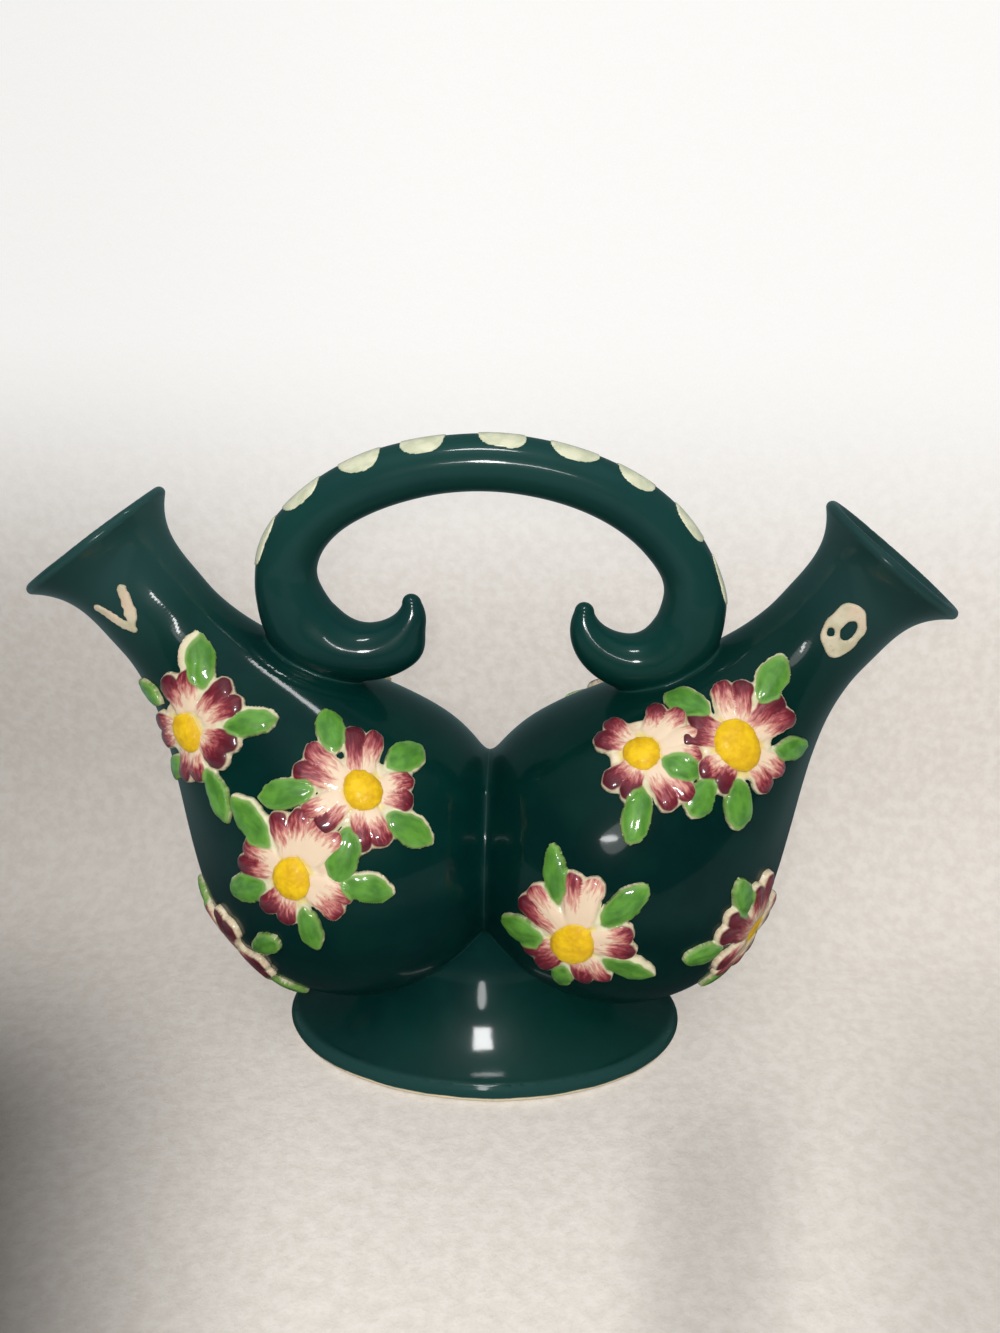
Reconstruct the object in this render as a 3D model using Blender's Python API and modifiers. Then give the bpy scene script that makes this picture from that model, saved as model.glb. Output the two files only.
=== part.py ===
"""Oil and vinegar cruet: two leaning flasks on one oval foot, with a scroll handle and relief flowers.

Metres, +Z up. The origin is on the table, under the middle of the foot. The flasks lean apart along X.
"""
from math import acos, atan2, cos, hypot, pi, radians, sin, sqrt

import bmesh
import bpy
from mathutils import Matrix, Vector

LEFT = -1
RIGHT = 1

# Clearance between pieces that touch
GAP = 0.0003

# Flasks: round belly, concave shoulder, slim neck, trumpet mouth
BELLY_RADIUS = 0.0330
BELLY_HEIGHT = 0.0484
BELLY_SPREAD = 0.0278
LEAN = radians(36.8)
SHOULDER_START = 0.0100
NECK_STATION = 0.0620
NECK_RADIUS = 0.0106
MOUTH_STATION = 0.0800
MOUTH_RADIUS = 0.0161
FLARE_POWER = 4
BELLY_WALL = 0.0036
NECK_WALL = 0.0028
PARTING_WALL = 0.0026
FLASK_STEPS = 32

# Foot: turned, then squeezed to an oval, hollow underneath
FOOT_HALF_WIDTH = 0.0449
FOOT_HALF_DEPTH = 0.0266
FOOT_TOP = 0.0335
FOOT_WAIST_HALF_WIDTH = 0.0198
FOOT_FLARE_POWER = 2.6
FOOT_RIM_HEIGHT = 0.0046
FOOT_RIM_ROUND = 0.0012
FOOT_RING_WIDTH = 0.0060
FOOT_HOLLOW_TOP = 0.0240
FOOT_WALL = 0.0042
FOOT_STEPS = 40

# Handle: an arch in the plane of the necks, whose ends curl inward over their seats on the shoulders
HANDLE_SEAT_STATION = 0.0302
HANDLE_SEAT_SINK = 0.0017
HANDLE_RISE = 0.0263
HANDLE_DROP = 0.0033
CURL_HALF_WIDTH = 0.0116
CURL_HALF_HEIGHT = 0.0096
CURL_SWEEP = radians(186)
HANDLE_RADIUS = 0.0053
HANDLE_HEEL_RADIUS = 0.0064
HANDLE_TIP_RADIUS = 0.0019

# Relief flowers: five notched petals with leaves between them, and a domed centre
PETAL_COUNT = 5
PETAL_NOTCH = 0.0112
PETAL_LOBE = 0.0126
PETAL_LOBE_TURN = radians(9)
PETAL_CORNER = 0.0108
PETAL_CORNER_TURN = radians(19)
PETAL_VALLEY = 0.0090
LEAF_TIP = 0.0165
PETAL_CREST = 0.0021
PETAL_EDGE = 0.0012
CREST_SHARE = 0.72
UNDERSIDE_SHARES = (0.36, 0.70)
UNDERSIDE_FACET = 0.48 * LEAF_TIP
EDGE_FACET = 0.40 * LEAF_TIP
CENTRE_RADIUS = 0.0043
CENTRE_SEAT = 0.0014
CENTRE_DOME = 0.0020
CENTRE_STEPS = 12

# Raised enamel: the V and the O on the necks, and the dots over the crown of the handle
ENAMEL_THICKNESS = 0.0005
MARK_STATION = 0.0675
MARK_STROKE = 0.0019
V_HEIGHT = 0.0080
V_HALF_WIDTH = 0.0033
O_HALF_HEIGHT = 0.0034
O_HALF_WIDTH = 0.0026
DOT_COUNT = 9
DOT_HALF_LENGTH = 0.0038
DOT_HALF_WRAP = radians(52)
DOT_SPACING = 0.0116

# Flower places: side, station along the axis, degrees round from the outer side, turn of its first leaf,
# and which of its five gaps hold a leaf. The back of each flask repeats the front of the other one.
ALL_LEAVES = (0, 1, 2, 3, 4)
FLOWERS = {
    "left_shoulder": (LEFT, 0.0431, -77, 35, ALL_LEAVES),
    "left_upper": (LEFT, 0.0166, -128, 23, ALL_LEAVES),
    "left_lower": (LEFT, 0.0128, -92, -7, (0, 2, 3, 4)),
    "left_outer": (LEFT, 0.0020, -42, 20, ALL_LEAVES),
    "right_shoulder": (RIGHT, 0.0381, -105, -14, ALL_LEAVES),
    "right_upper": (RIGHT, 0.0260, -134, -10, (1, 2)),
    "right_lower": (RIGHT, -0.0072, -103, 12, ALL_LEAVES),
    "right_outer": (RIGHT, 0.0102, -38, 27, ALL_LEAVES),
}


def clear_scene():
    for item in list(bpy.data.objects):
        bpy.data.objects.remove(item, do_unlink=True)


def new_collection(name, hidden=False):
    group = bpy.data.collections.new(name)
    group.hide_render = hidden
    bpy.context.scene.collection.children.link(group)
    return group


def material(name, color, roughness):
    made = bpy.data.materials.new(name)
    made.use_nodes = True
    shader = made.node_tree.nodes["Principled BSDF"]
    shader.inputs["Base Color"].default_value = (*color, 1)
    shader.inputs["Roughness"].default_value = roughness
    made.diffuse_color = (*color, 1)
    return made


def object_from_mesh(name, work, group, finish):
    """A smooth-shaded object made from a bmesh, whose faces are turned outward."""
    bmesh.ops.recalc_face_normals(work, faces=work.faces)
    mesh = bpy.data.meshes.new(name)
    work.to_mesh(mesh)
    work.free()
    mesh.shade_smooth()
    mesh.set_sharp_from_angle(angle=radians(40))
    made = bpy.data.objects.new(name, mesh)
    group.objects.link(made)
    if finish:
        made.data.materials.append(finish)
    return made


def add_boolean(piece, cutter, operation):
    step = piece.modifiers.new(f"{operation.lower()}_{cutter.name}", "BOOLEAN")
    step.operation = operation
    step.solver = "EXACT"
    step.object = cutter


def hide_cutter(piece):
    piece.hide_render = True
    piece.display_type = "WIRE"
    return piece


def turned(name, profile, steps, group, finish):
    """A turned solid. The profile runs from the axis, down the outer side, and back to the axis."""
    mesh = bpy.data.meshes.new(name)
    points = [(radius, 0, height) for radius, height in profile]
    edges = [(i, i + 1) for i in range(len(points) - 1)]
    mesh.from_pydata(points, edges, [])
    made = bpy.data.objects.new(name, mesh)
    group.objects.link(made)
    screw = made.modifiers.new("turn", "SCREW")
    screw.axis = "Z"
    screw.steps = steps
    screw.render_steps = steps
    screw.use_merge_vertices = True
    screw.merge_threshold = 0.00002
    screw.use_smooth_shade = True
    if finish:
        made.data.materials.append(finish)
    return made


def box(name, low, high, group):
    work = bmesh.new()
    size = Vector(high) - Vector(low)
    middle = (Vector(high) + Vector(low)) / 2
    place = Matrix.Translation(middle) @ Matrix.Diagonal((*size, 1))
    bmesh.ops.create_cube(work, size=1, matrix=place)
    return hide_cutter(object_from_mesh(name, work, group, None))


# Flask shape

def belly_edge():
    """Radius and slope where the round belly runs into the shoulder."""
    radius = sqrt(BELLY_RADIUS**2 - SHOULDER_START**2)
    return radius, -SHOULDER_START / radius


def skin_radius(along):
    """Outer radius of a flask at a distance along its axis from the belly's centre."""
    if along <= SHOULDER_START:
        return sqrt(max(BELLY_RADIUS**2 - along**2, 0))
    start, slope = belly_edge()
    if along < NECK_STATION:
        span = NECK_STATION - SHOULDER_START
        t = (along - SHOULDER_START) / span
        blend = 2 * t**3 - 3 * t**2 + 1
        return blend * start + (t**3 - 2 * t**2 + t) * span * slope + (1 - blend) * NECK_RADIUS
    share = (along - NECK_STATION) / (MOUTH_STATION - NECK_STATION)
    return NECK_RADIUS + (MOUTH_RADIUS - NECK_RADIUS) * share**FLARE_POWER


def skin_slope(along):
    step = 0.0001
    return (skin_radius(along + step) - skin_radius(along - step)) / (2 * step)


def flask_axes(side):
    """Belly centre, axis towards the mouth, outward direction and the direction to the back."""
    centre = Vector((side * BELLY_SPREAD, 0, BELLY_HEIGHT))
    axis = Vector((side * sin(LEAN), 0, cos(LEAN)))
    outward = Vector((side * cos(LEAN), 0, -sin(LEAN)))
    return centre, axis, outward, Vector((0, 1, 0))


def skin_offset(side, point):
    """Height of a point above the flask's skin, and the skin's normal there."""
    centre, axis, _, _ = flask_axes(side)
    arm = point - centre
    along = arm.dot(axis)
    if along <= SHOULDER_START:
        return arm.length - BELLY_RADIUS, arm.normalized()
    radial = arm - axis * along
    slope = skin_slope(along)
    normal = (radial.normalized() - axis * slope).normalized()
    return (radial.length - skin_radius(along)) / hypot(1, slope), normal


def onto_skin(side, point):
    for _ in range(4):
        height, normal = skin_offset(side, point)
        point = point - normal * height
    return point


def skin_point(side, along, around, lift=0.0):
    """A point over the skin, by its place along the axis and its angle round from the outer side."""
    centre, axis, outward, across = flask_axes(side)
    spoke = outward * cos(around) + across * sin(around)
    point = centre + axis * along + spoke * skin_radius(along)
    return point + skin_offset(side, point)[1] * lift


def walk(side, start, heading, distance):
    """Follows the skin from a point for a distance, and gives the point and normal there."""
    steps = max(1, round(distance / 0.0015))
    point = start
    for _ in range(steps):
        point = onto_skin(side, point + heading * (distance / steps))
        normal = skin_offset(side, point)[1]
        heading = (heading - normal * heading.dot(normal)).normalized()
    return point, skin_offset(side, point)[1]


def outer_profile(growth=0.0):
    """(radius, height) points up a flask's outer side, from its bottom to the start of the lip."""
    belly_steps = 11
    end = acos(-SHOULDER_START / BELLY_RADIUS)
    size = BELLY_RADIUS + growth
    points = []
    for i in range(belly_steps + 1):
        angle = end * i / belly_steps
        points.append((size * sin(angle), -size * cos(angle)))
    shoulder_steps = 9
    flare_steps = 4
    stations = [
        SHOULDER_START + (NECK_STATION - SHOULDER_START) * i / shoulder_steps
        for i in range(1, shoulder_steps + 1)
    ]
    stations += [
        NECK_STATION + (MOUTH_STATION - NECK_STATION) * sqrt(i / flare_steps)
        for i in range(1, flare_steps + 1)
    ]
    for along in stations:
        slope = skin_slope(along)
        lean = hypot(1, slope)
        points.append((skin_radius(along) + growth / lean, along - growth * slope / lean))
    points[0] = (0, -size)
    return points


def bore_profile():
    """(radius, height) points down the inside of a flask, from the lip to the bottom of the hollow."""
    stations = [MOUTH_STATION]
    flare_steps = 4
    shoulder_steps = 4
    stations += [
        NECK_STATION + (MOUTH_STATION - NECK_STATION) * sqrt(i / flare_steps)
        for i in reversed(range(flare_steps))
    ]
    stations += [
        SHOULDER_START + (NECK_STATION - SHOULDER_START) * i / shoulder_steps
        for i in reversed(range(1, shoulder_steps))
    ]
    points = []
    for along in stations:
        slope = skin_slope(along)
        lean = hypot(1, slope)
        share = min(max((NECK_STATION - along) / (NECK_STATION - SHOULDER_START), 0), 1)
        wall = NECK_WALL + (BELLY_WALL - NECK_WALL) * share
        points.append((skin_radius(along) - wall / lean, along + wall * slope / lean))
    hollow = BELLY_RADIUS - BELLY_WALL
    belly_steps = 7
    start = acos(-SHOULDER_START / BELLY_RADIUS)
    for i in range(belly_steps):
        angle = start * (1 - i / belly_steps)
        points.append((hollow * sin(angle), -hollow * cos(angle)))
    points.append((0, -hollow))
    return points


def lip_points(outside, inside):
    """Points over the rounded lip, between the ends of the outer side and of the bore."""
    middle = ((outside[0] + inside[0]) / 2, (outside[1] + inside[1]) / 2)
    radius = hypot(outside[0] - inside[0], outside[1] - inside[1]) / 2
    start = atan2(outside[1] - middle[1], outside[0] - middle[0])
    steps = 4
    return [
        (
            middle[0] + radius * cos(start + pi * i / steps),
            middle[1] + radius * sin(start + pi * i / steps),
        )
        for i in range(1, steps)
    ]


def place_on_axis(piece, side):
    centre, _, _, _ = flask_axes(side)
    piece.location = centre
    piece.rotation_euler = (0, side * LEAN, 0)


def flask_envelope(side, name, group):
    """A solid flask, grown by the clearance, that cuts the seats of the foot and the handle."""
    outer = outer_profile(GAP)
    top = outer[-1]
    profile = [(0, top[1]), *reversed(outer)]
    envelope = turned(name, profile, FLASK_STEPS, group, None)
    place_on_axis(envelope, side)
    return hide_cutter(envelope)


def flask(side, name, parts, cutters, finish):
    """A hollow flask with a flat parting wall where it meets the other one."""
    outer = outer_profile()
    bore = bore_profile()
    profile = [*reversed(bore), *reversed(lip_points(outer[-1], bore[0])), *reversed(outer)]
    piece = turned(name, profile, FLASK_STEPS, parts, finish)
    place_on_axis(piece, side)

    hollow = BELLY_RADIUS - BELLY_WALL
    opening = sqrt(hollow**2 - (BELLY_SPREAD - PARTING_WALL) ** 2)
    outside = sqrt(BELLY_RADIUS**2 - BELLY_SPREAD**2)
    work = bmesh.new()
    turn = Matrix.Rotation(pi / 2, 4, "Y")
    middle = Matrix.Translation((side * PARTING_WALL / 2, 0, BELLY_HEIGHT))
    bmesh.ops.create_cone(
        work,
        cap_ends=True,
        segments=28,
        radius1=(opening + outside) / 2,
        radius2=(opening + outside) / 2,
        depth=PARTING_WALL,
        matrix=middle @ turn,
    )
    wall = hide_cutter(object_from_mesh(f"{name}_parting_wall", work, cutters, None))
    add_boolean(piece, wall, "UNION")

    far = 3 * BELLY_RADIUS
    inner_edge = side * GAP / 2
    low = (min(inner_edge, -side * far), -far, -far)
    high = (max(inner_edge, -side * far), far, BELLY_HEIGHT + far)
    half = box(f"{name}_middle_plane", low, high, cutters)
    add_boolean(piece, half, "DIFFERENCE")
    return piece


# Foot

def foot_flare(share):
    """Half width of the foot, at a share of the way from its rim (0) up to its waist (1)."""
    spread = FOOT_HALF_WIDTH - FOOT_RIM_ROUND - FOOT_WAIST_HALF_WIDTH
    return FOOT_WAIST_HALF_WIDTH + spread * (1 - share) ** FOOT_FLARE_POWER


def foot(envelopes, parts, cutters, finish):
    rise_steps = 7
    round_steps = 2
    profile = [(0, FOOT_TOP)]
    for i in range(rise_steps + 1):
        share = 1 - i / rise_steps
        height = FOOT_RIM_HEIGHT + (FOOT_TOP - FOOT_RIM_HEIGHT) * share
        profile.append((foot_flare(share), height))
    middle = (FOOT_HALF_WIDTH - FOOT_RIM_ROUND, FOOT_RIM_HEIGHT / 2)
    for i in range(1, 2 * round_steps):
        angle = pi / 2 - pi * i / (2 * round_steps)
        profile.append(
            (middle[0] + FOOT_RIM_ROUND * cos(angle), middle[1] + FOOT_RIM_HEIGHT / 2 * sin(angle))
        )
    profile += [(middle[0], 0), (0, 0)]
    piece = turned("foot", profile, FOOT_STEPS, parts, finish)
    piece.scale = (1, FOOT_HALF_DEPTH / FOOT_HALF_WIDTH, 1)

    hollow_steps = 5
    inside = [(0, FOOT_HOLLOW_TOP)]
    for i in range(hollow_steps + 1):
        share = (1 - i / hollow_steps) * FOOT_HOLLOW_TOP / FOOT_TOP
        wall = FOOT_WALL + (FOOT_RING_WIDTH - FOOT_WALL) * (1 - share)
        inside.append((foot_flare(share) - wall, FOOT_TOP * share))
    inside += [(inside[-1][0], -FOOT_RIM_HEIGHT), (0, -FOOT_RIM_HEIGHT)]
    hollow = turned("foot_hollow", inside, FOOT_STEPS, cutters, None)
    hollow.scale = piece.scale
    add_boolean(piece, hide_cutter(hollow), "DIFFERENCE")
    for envelope in envelopes:
        add_boolean(piece, envelope, "DIFFERENCE")
    return piece


# Handle

def curl_centre():
    """Middle of the right curl, whose lowest stretch is seated a little into the shoulder."""
    seat = skin_point(RIGHT, HANDLE_SEAT_STATION, pi)
    return seat.x, seat.z + HANDLE_HEEL_RADIUS - HANDLE_SEAT_SINK + CURL_HALF_HEIGHT


def handle_path():
    """(x, z, radius) points along the handle, from the left tip over the crown to the right tip."""
    curl_x, curl_z = curl_centre()
    side_z = curl_z + HANDLE_DROP
    half_span = curl_x + CURL_HALF_WIDTH
    arch_steps = 12
    curl_steps = 14
    right = []
    for i in range(1, arch_steps + 1):
        share = i / arch_steps
        angle = pi / 2 * share
        swell = (HANDLE_HEEL_RADIUS - HANDLE_RADIUS) * share**4 / 2
        right.append((half_span * sin(angle), side_z + HANDLE_RISE * cos(angle), HANDLE_RADIUS + swell))
    for i in range(curl_steps + 1):
        share = i / curl_steps
        angle = -CURL_SWEEP * share
        swell = (HANDLE_HEEL_RADIUS - HANDLE_RADIUS) * min(0.5 + 2 * share, 1)
        taper = (HANDLE_HEEL_RADIUS - HANDLE_TIP_RADIUS) * share**3
        x = curl_x + CURL_HALF_WIDTH * cos(angle)
        z = curl_z + CURL_HALF_HEIGHT * sin(angle)
        right.append((x, z, HANDLE_RADIUS + swell - taper))
    left = [(-x, z, radius) for x, z, radius in reversed(right)]
    return [*left, (0, side_z + HANDLE_RISE, HANDLE_RADIUS), *right]


def handle(envelopes, parts, finish):
    path = handle_path()
    curve = bpy.data.curves.new("handle_curve", "CURVE")
    curve.dimensions = "3D"
    curve.bevel_depth = 1
    curve.bevel_resolution = 4
    curve.use_fill_caps = True
    spline = curve.splines.new("POLY")
    spline.points.add(len(path) - 1)
    for knot, (x, z, radius) in zip(spline.points, path):
        knot.co = (x, 0, z, 1)
        knot.radius = radius
    guide = bpy.data.objects.new("handle_curve", curve)
    parts.objects.link(guide)
    bpy.context.view_layer.update()
    graph = bpy.context.evaluated_depsgraph_get()
    mesh = bpy.data.meshes.new_from_object(guide.evaluated_get(graph))
    work = bmesh.new()
    work.from_mesh(mesh)
    bmesh.ops.remove_doubles(work, verts=work.verts, dist=0.00001)
    piece = object_from_mesh("handle", work, parts, finish)
    piece.matrix_world = guide.matrix_world
    bpy.data.objects.remove(guide, do_unlink=True)
    bpy.data.meshes.remove(mesh)
    for envelope in envelopes:
        add_boolean(piece, envelope, "DIFFERENCE")
    return piece


# Relief flowers

def flower_outline(turn, leaves):
    """(angle, radius) points round a flower: a leaf, or a gap, and a notched petal in each fifth."""
    fifth = 2 * pi / PETAL_COUNT
    petal_points = (
        (-PETAL_CORNER_TURN, PETAL_CORNER),
        (-PETAL_LOBE_TURN, PETAL_LOBE),
        (0, PETAL_NOTCH),
        (PETAL_LOBE_TURN, PETAL_LOBE),
        (PETAL_CORNER_TURN, PETAL_CORNER),
    )
    points = []
    for i in range(PETAL_COUNT):
        leaf = turn + i * fifth
        points.append((leaf, LEAF_TIP if i in leaves else PETAL_VALLEY))
        for offset, radius in petal_points:
            points.append((leaf + fifth / 2 + offset, radius))
    return points


def facet_lift(side, point, length):
    """Lift at which a flat facet of this length keeps the clearance to the curved skin under it."""
    centre, axis, _, _ = flask_axes(side)
    return GAP + length**2 / (8 * skin_radius((point - centre).dot(axis)))


def ring_of(work, side, start, axes, outline, share, limit, lift=0.0, facet=0.0):
    """A ring of points at a share of the outline, at a lift or as low as its facets may lie."""
    up, right = axes
    made = []
    for angle, radius in outline:
        heading = up * cos(angle) + right * sin(angle)
        reach = min(radius, limit(heading))
        point, normal = walk(side, start, heading, reach * share)
        made.append(work.verts.new(point + normal * (lift or facet_lift(side, point, facet))))
    return made


def skirt(work, lower, upper):
    for i in range(len(lower)):
        j = (i + 1) % len(lower)
        work.faces.new((lower[i], lower[j], upper[j], upper[i]))


def fan(work, ring, hub):
    for i in range(len(ring)):
        work.faces.new((ring[i], ring[(i + 1) % len(ring)], hub))


def flower_frame(side, along, around):
    start = skin_point(side, along, around)
    normal = skin_offset(side, start)[1]
    axis = flask_axes(side)[1]
    up = (axis - normal * axis.dot(normal)).normalized()
    return start, normal, (up, up.cross(normal))


def flower(name, place, neighbours, parts, petal_finish, centre_finish):
    side, along, around, turn, leaves = place
    start, normal, axes = flower_frame(side, along, around)

    def limit(heading):
        """How far a flower may reach before it meets the flower beside it."""
        reach = LEAF_TIP
        for other in neighbours:
            towards = other - start
            facing = heading.dot(towards.normalized())
            if facing > 0.05:
                reach = min(reach, (towards.length / 2 - GAP) / facing)
        return reach

    outline = flower_outline(turn, leaves)
    work = bmesh.new()

    def level(share, lift=0.0, facet=0.0):
        return ring_of(work, side, start, axes, outline, share, limit, lift, facet)

    bottom_hub = work.verts.new(start + normal * facet_lift(side, start, UNDERSIDE_FACET))
    bottom_inner, bottom_middle = (level(share, facet=UNDERSIDE_FACET) for share in UNDERSIDE_SHARES)
    bottom_edge = level(1, facet=EDGE_FACET)
    top_edge = level(1, PETAL_EDGE)
    crest = level(CREST_SHARE, PETAL_CREST)
    seat_outline = [(angle, CENTRE_RADIUS + GAP) for angle, _ in outline]
    seat = ring_of(work, side, start, axes, seat_outline, 1, limit, CENTRE_SEAT)
    top_hub = work.verts.new(start + normal * CENTRE_SEAT)
    fan(work, bottom_inner, bottom_hub)
    skirt(work, bottom_inner, bottom_middle)
    skirt(work, bottom_middle, bottom_edge)
    skirt(work, bottom_edge, top_edge)
    skirt(work, top_edge, crest)
    skirt(work, crest, seat)
    fan(work, seat, top_hub)
    object_from_mesh(f"petals_{name}", work, parts, petal_finish)

    work = bmesh.new()
    rim = [(2 * pi * i / CENTRE_STEPS, CENTRE_RADIUS) for i in range(CENTRE_STEPS)]
    base = CENTRE_SEAT + GAP
    base_hub = work.verts.new(start + normal * base)
    base_ring = ring_of(work, side, start, axes, rim, 1, limit, base)
    middle_ring = ring_of(work, side, start, axes, rim, 0.8, limit, base + 0.7 * CENTRE_DOME)
    top = work.verts.new(start + normal * (base + CENTRE_DOME))
    fan(work, base_ring, base_hub)
    skirt(work, base_ring, middle_ring)
    fan(work, middle_ring, top)
    object_from_mesh(f"centre_{name}", work, parts, centre_finish)


def flowers(parts, petal_finish, centre_finish):
    places = {}
    other_hand = {"left": "right", "right": "left"}
    for name, (side, along, around, turn, leaves) in FLOWERS.items():
        hand, spot = name.split("_")
        places[f"front_{hand}_{spot}"] = (side, along, radians(around), radians(turn), leaves)
        places[f"back_{other_hand[hand]}_{spot}"] = (-side, along, radians(-around), radians(turn), leaves)
    starts = {name: skin_point(*place[:3]) for name, place in places.items()}
    for name, place in places.items():
        neighbours = [
            starts[other]
            for other in places
            if other != name and (starts[other] - starts[name]).length < 2 * LEAF_TIP
        ]
        flower(name, place, neighbours, parts, petal_finish, centre_finish)


# Raised enamel

def neck_ribbon(name, side, path, closed, parts, finish):
    """A raised brush stroke on a neck. The path holds (round, along) offsets from the mark's place."""
    work = bmesh.new()
    count = len(path)
    rings = []
    for i, (x, y) in enumerate(path):
        before = path[(i - 1) % count] if closed or i > 0 else path[i]
        after = path[(i + 1) % count] if closed or i < count - 1 else path[i]
        run = Vector((after[0] - before[0], after[1] - before[1])).normalized()
        left = Vector((-run.y, run.x)) * MARK_STROKE / 2
        corners = []
        top = GAP + ENAMEL_THICKNESS
        for sign, lift in ((1, GAP), (-1, GAP), (-1, top), (1, top)):
            spot = Vector((x, y)) + left * sign
            around = -pi / 2 + spot.x / NECK_RADIUS
            corners.append(work.verts.new(skin_point(side, MARK_STATION + spot.y, around, lift)))
        rings.append(corners)
    for i in range(count if closed else count - 1):
        skirt(work, rings[i], rings[(i + 1) % count])
    if not closed:
        work.faces.new(rings[0])
        work.faces.new(rings[-1])
    return object_from_mesh(name, work, parts, finish)


def marks(parts, finish):
    arm_steps = 4
    arm = [i / arm_steps for i in range(arm_steps + 1)]
    down = [(-V_HALF_WIDTH * (1 - t), V_HEIGHT * (0.5 - t)) for t in arm]
    up = [(V_HALF_WIDTH * t, V_HEIGHT * (t - 0.5)) for t in arm[1:]]
    neck_ribbon("vinegar_mark", LEFT, down + up, False, parts, finish)
    turns = 16
    angles = [2 * pi * i / turns for i in range(turns)]
    loop = [(O_HALF_WIDTH * cos(angle), O_HALF_HEIGHT * sin(angle)) for angle in angles]
    neck_ribbon("oil_mark", RIGHT, loop, True, parts, finish)


def crown_point(path, distance, wrap, lift):
    """A point over the handle, by its distance from the crown along the path and its angle round it."""
    lengths = [0.0]
    for (x0, z0, _), (x1, z1, _) in zip(path, path[1:]):
        lengths.append(lengths[-1] + hypot(x1 - x0, z1 - z0))
    goal = lengths[-1] / 2 + distance
    k = max(i for i in range(len(path) - 1) if lengths[i] <= goal)
    t = (goal - lengths[k]) / (lengths[k + 1] - lengths[k])
    x, z, radius = (a + (b - a) * t for a, b in zip(path[k], path[k + 1]))
    before = path[max(k - 1, 0)]
    after = path[min(k + 2, len(path) - 1)]
    run = Vector((after[0] - before[0], 0, after[1] - before[1])).normalized()
    out = Vector((-run.z, 0, run.x))
    spoke = out * cos(wrap) + Vector((0, 1, 0)) * sin(wrap)
    return Vector((x, 0, z)) + spoke * (radius + lift)


def dot_ring(work, path, middle, share, lift):
    steps = 12
    made = []
    for i in range(steps):
        angle = 2 * pi * i / steps
        distance = middle + share * DOT_HALF_LENGTH * cos(angle)
        wrap = share * DOT_HALF_WRAP * sin(angle)
        made.append(work.verts.new(crown_point(path, distance, wrap, lift)))
    return made


def handle_dots(parts, finish):
    """Enamel dots over the crown of the handle, evenly spaced along it."""
    path = handle_path()
    top = GAP + ENAMEL_THICKNESS
    for number in range(DOT_COUNT):
        middle = DOT_SPACING * (number - (DOT_COUNT - 1) / 2)
        work = bmesh.new()
        bottom_hub = work.verts.new(crown_point(path, middle, 0, GAP))
        inner_bottom = dot_ring(work, path, middle, 0.5, GAP)
        outer_bottom = dot_ring(work, path, middle, 1, GAP)
        outer_top = dot_ring(work, path, middle, 1, top)
        inner_top = dot_ring(work, path, middle, 0.5, top)
        top_hub = work.verts.new(crown_point(path, middle, 0, top))
        fan(work, inner_bottom, bottom_hub)
        skirt(work, inner_bottom, outer_bottom)
        skirt(work, outer_bottom, outer_top)
        skirt(work, outer_top, inner_top)
        fan(work, inner_top, top_hub)
        object_from_mesh(f"handle_dot_{number + 1}", work, parts, finish)


def main():
    clear_scene()
    parts = new_collection("oil_and_vinegar_cruet")
    cutters = new_collection("cutters", hidden=True)

    glaze = material("green_glaze", (0.004, 0.035, 0.028), 0.08)
    petal = material("painted_petals", (0.72, 0.42, 0.36), 0.22)
    centre = material("yellow_centres", (0.80, 0.52, 0.03), 0.45)
    enamel = material("cream_enamel", (0.68, 0.66, 0.46), 0.40)

    envelopes = [
        flask_envelope(LEFT, "left_envelope", cutters),
        flask_envelope(RIGHT, "right_envelope", cutters),
    ]
    flask(LEFT, "vinegar_bottle", parts, cutters, glaze)
    flask(RIGHT, "oil_bottle", parts, cutters, glaze)
    foot(envelopes, parts, cutters, glaze)
    handle(envelopes, parts, glaze)
    flowers(parts, petal, centre)
    marks(parts, enamel)
    handle_dots(parts, enamel)


main()
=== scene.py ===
"""Looks of an oil and vinegar cruet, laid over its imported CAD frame. The shape code works in millimetres."""

import math

import bpy
import numpy as np
from mathutils import Matrix, Vector
from mathutils.geometry import delaunay_2d_cdt

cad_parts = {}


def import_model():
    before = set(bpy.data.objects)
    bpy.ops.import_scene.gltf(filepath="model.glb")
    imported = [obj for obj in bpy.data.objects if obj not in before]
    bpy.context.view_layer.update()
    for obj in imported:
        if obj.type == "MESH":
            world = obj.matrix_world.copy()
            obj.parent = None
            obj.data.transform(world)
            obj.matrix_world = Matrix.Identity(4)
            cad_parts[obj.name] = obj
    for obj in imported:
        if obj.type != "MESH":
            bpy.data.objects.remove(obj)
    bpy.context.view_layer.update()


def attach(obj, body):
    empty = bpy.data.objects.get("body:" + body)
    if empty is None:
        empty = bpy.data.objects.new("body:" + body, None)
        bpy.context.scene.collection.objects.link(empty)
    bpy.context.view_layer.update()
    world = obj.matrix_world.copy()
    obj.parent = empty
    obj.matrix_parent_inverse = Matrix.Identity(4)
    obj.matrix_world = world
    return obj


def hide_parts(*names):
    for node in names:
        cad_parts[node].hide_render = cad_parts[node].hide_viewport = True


MM = 0.001
LEFT = -1
RIGHT = 1
COARSE = 1.0

# Flasks: a ball for the belly, a long taper to the neck and a flared mouth, on a leaning axis
BELLY_RADIUS = 33.0
BELLY_HEIGHT = 48.4
BELLY_SPREAD = 27.8
LEAN = math.radians(36.8)
SHOULDER = 10.0
NECK = 62.0
NECK_RADIUS = 10.6
MOUTH = 80.0
MOUTH_RADIUS = 15.7
FLARE_POWER = 4
BELLY_WALL = 3.6
NECK_WALL = 2.8
LIP_WALL = 2.2
PARTING_WALL = 2.6
RIGHT_MOUTH_TURN = 0.06

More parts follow.
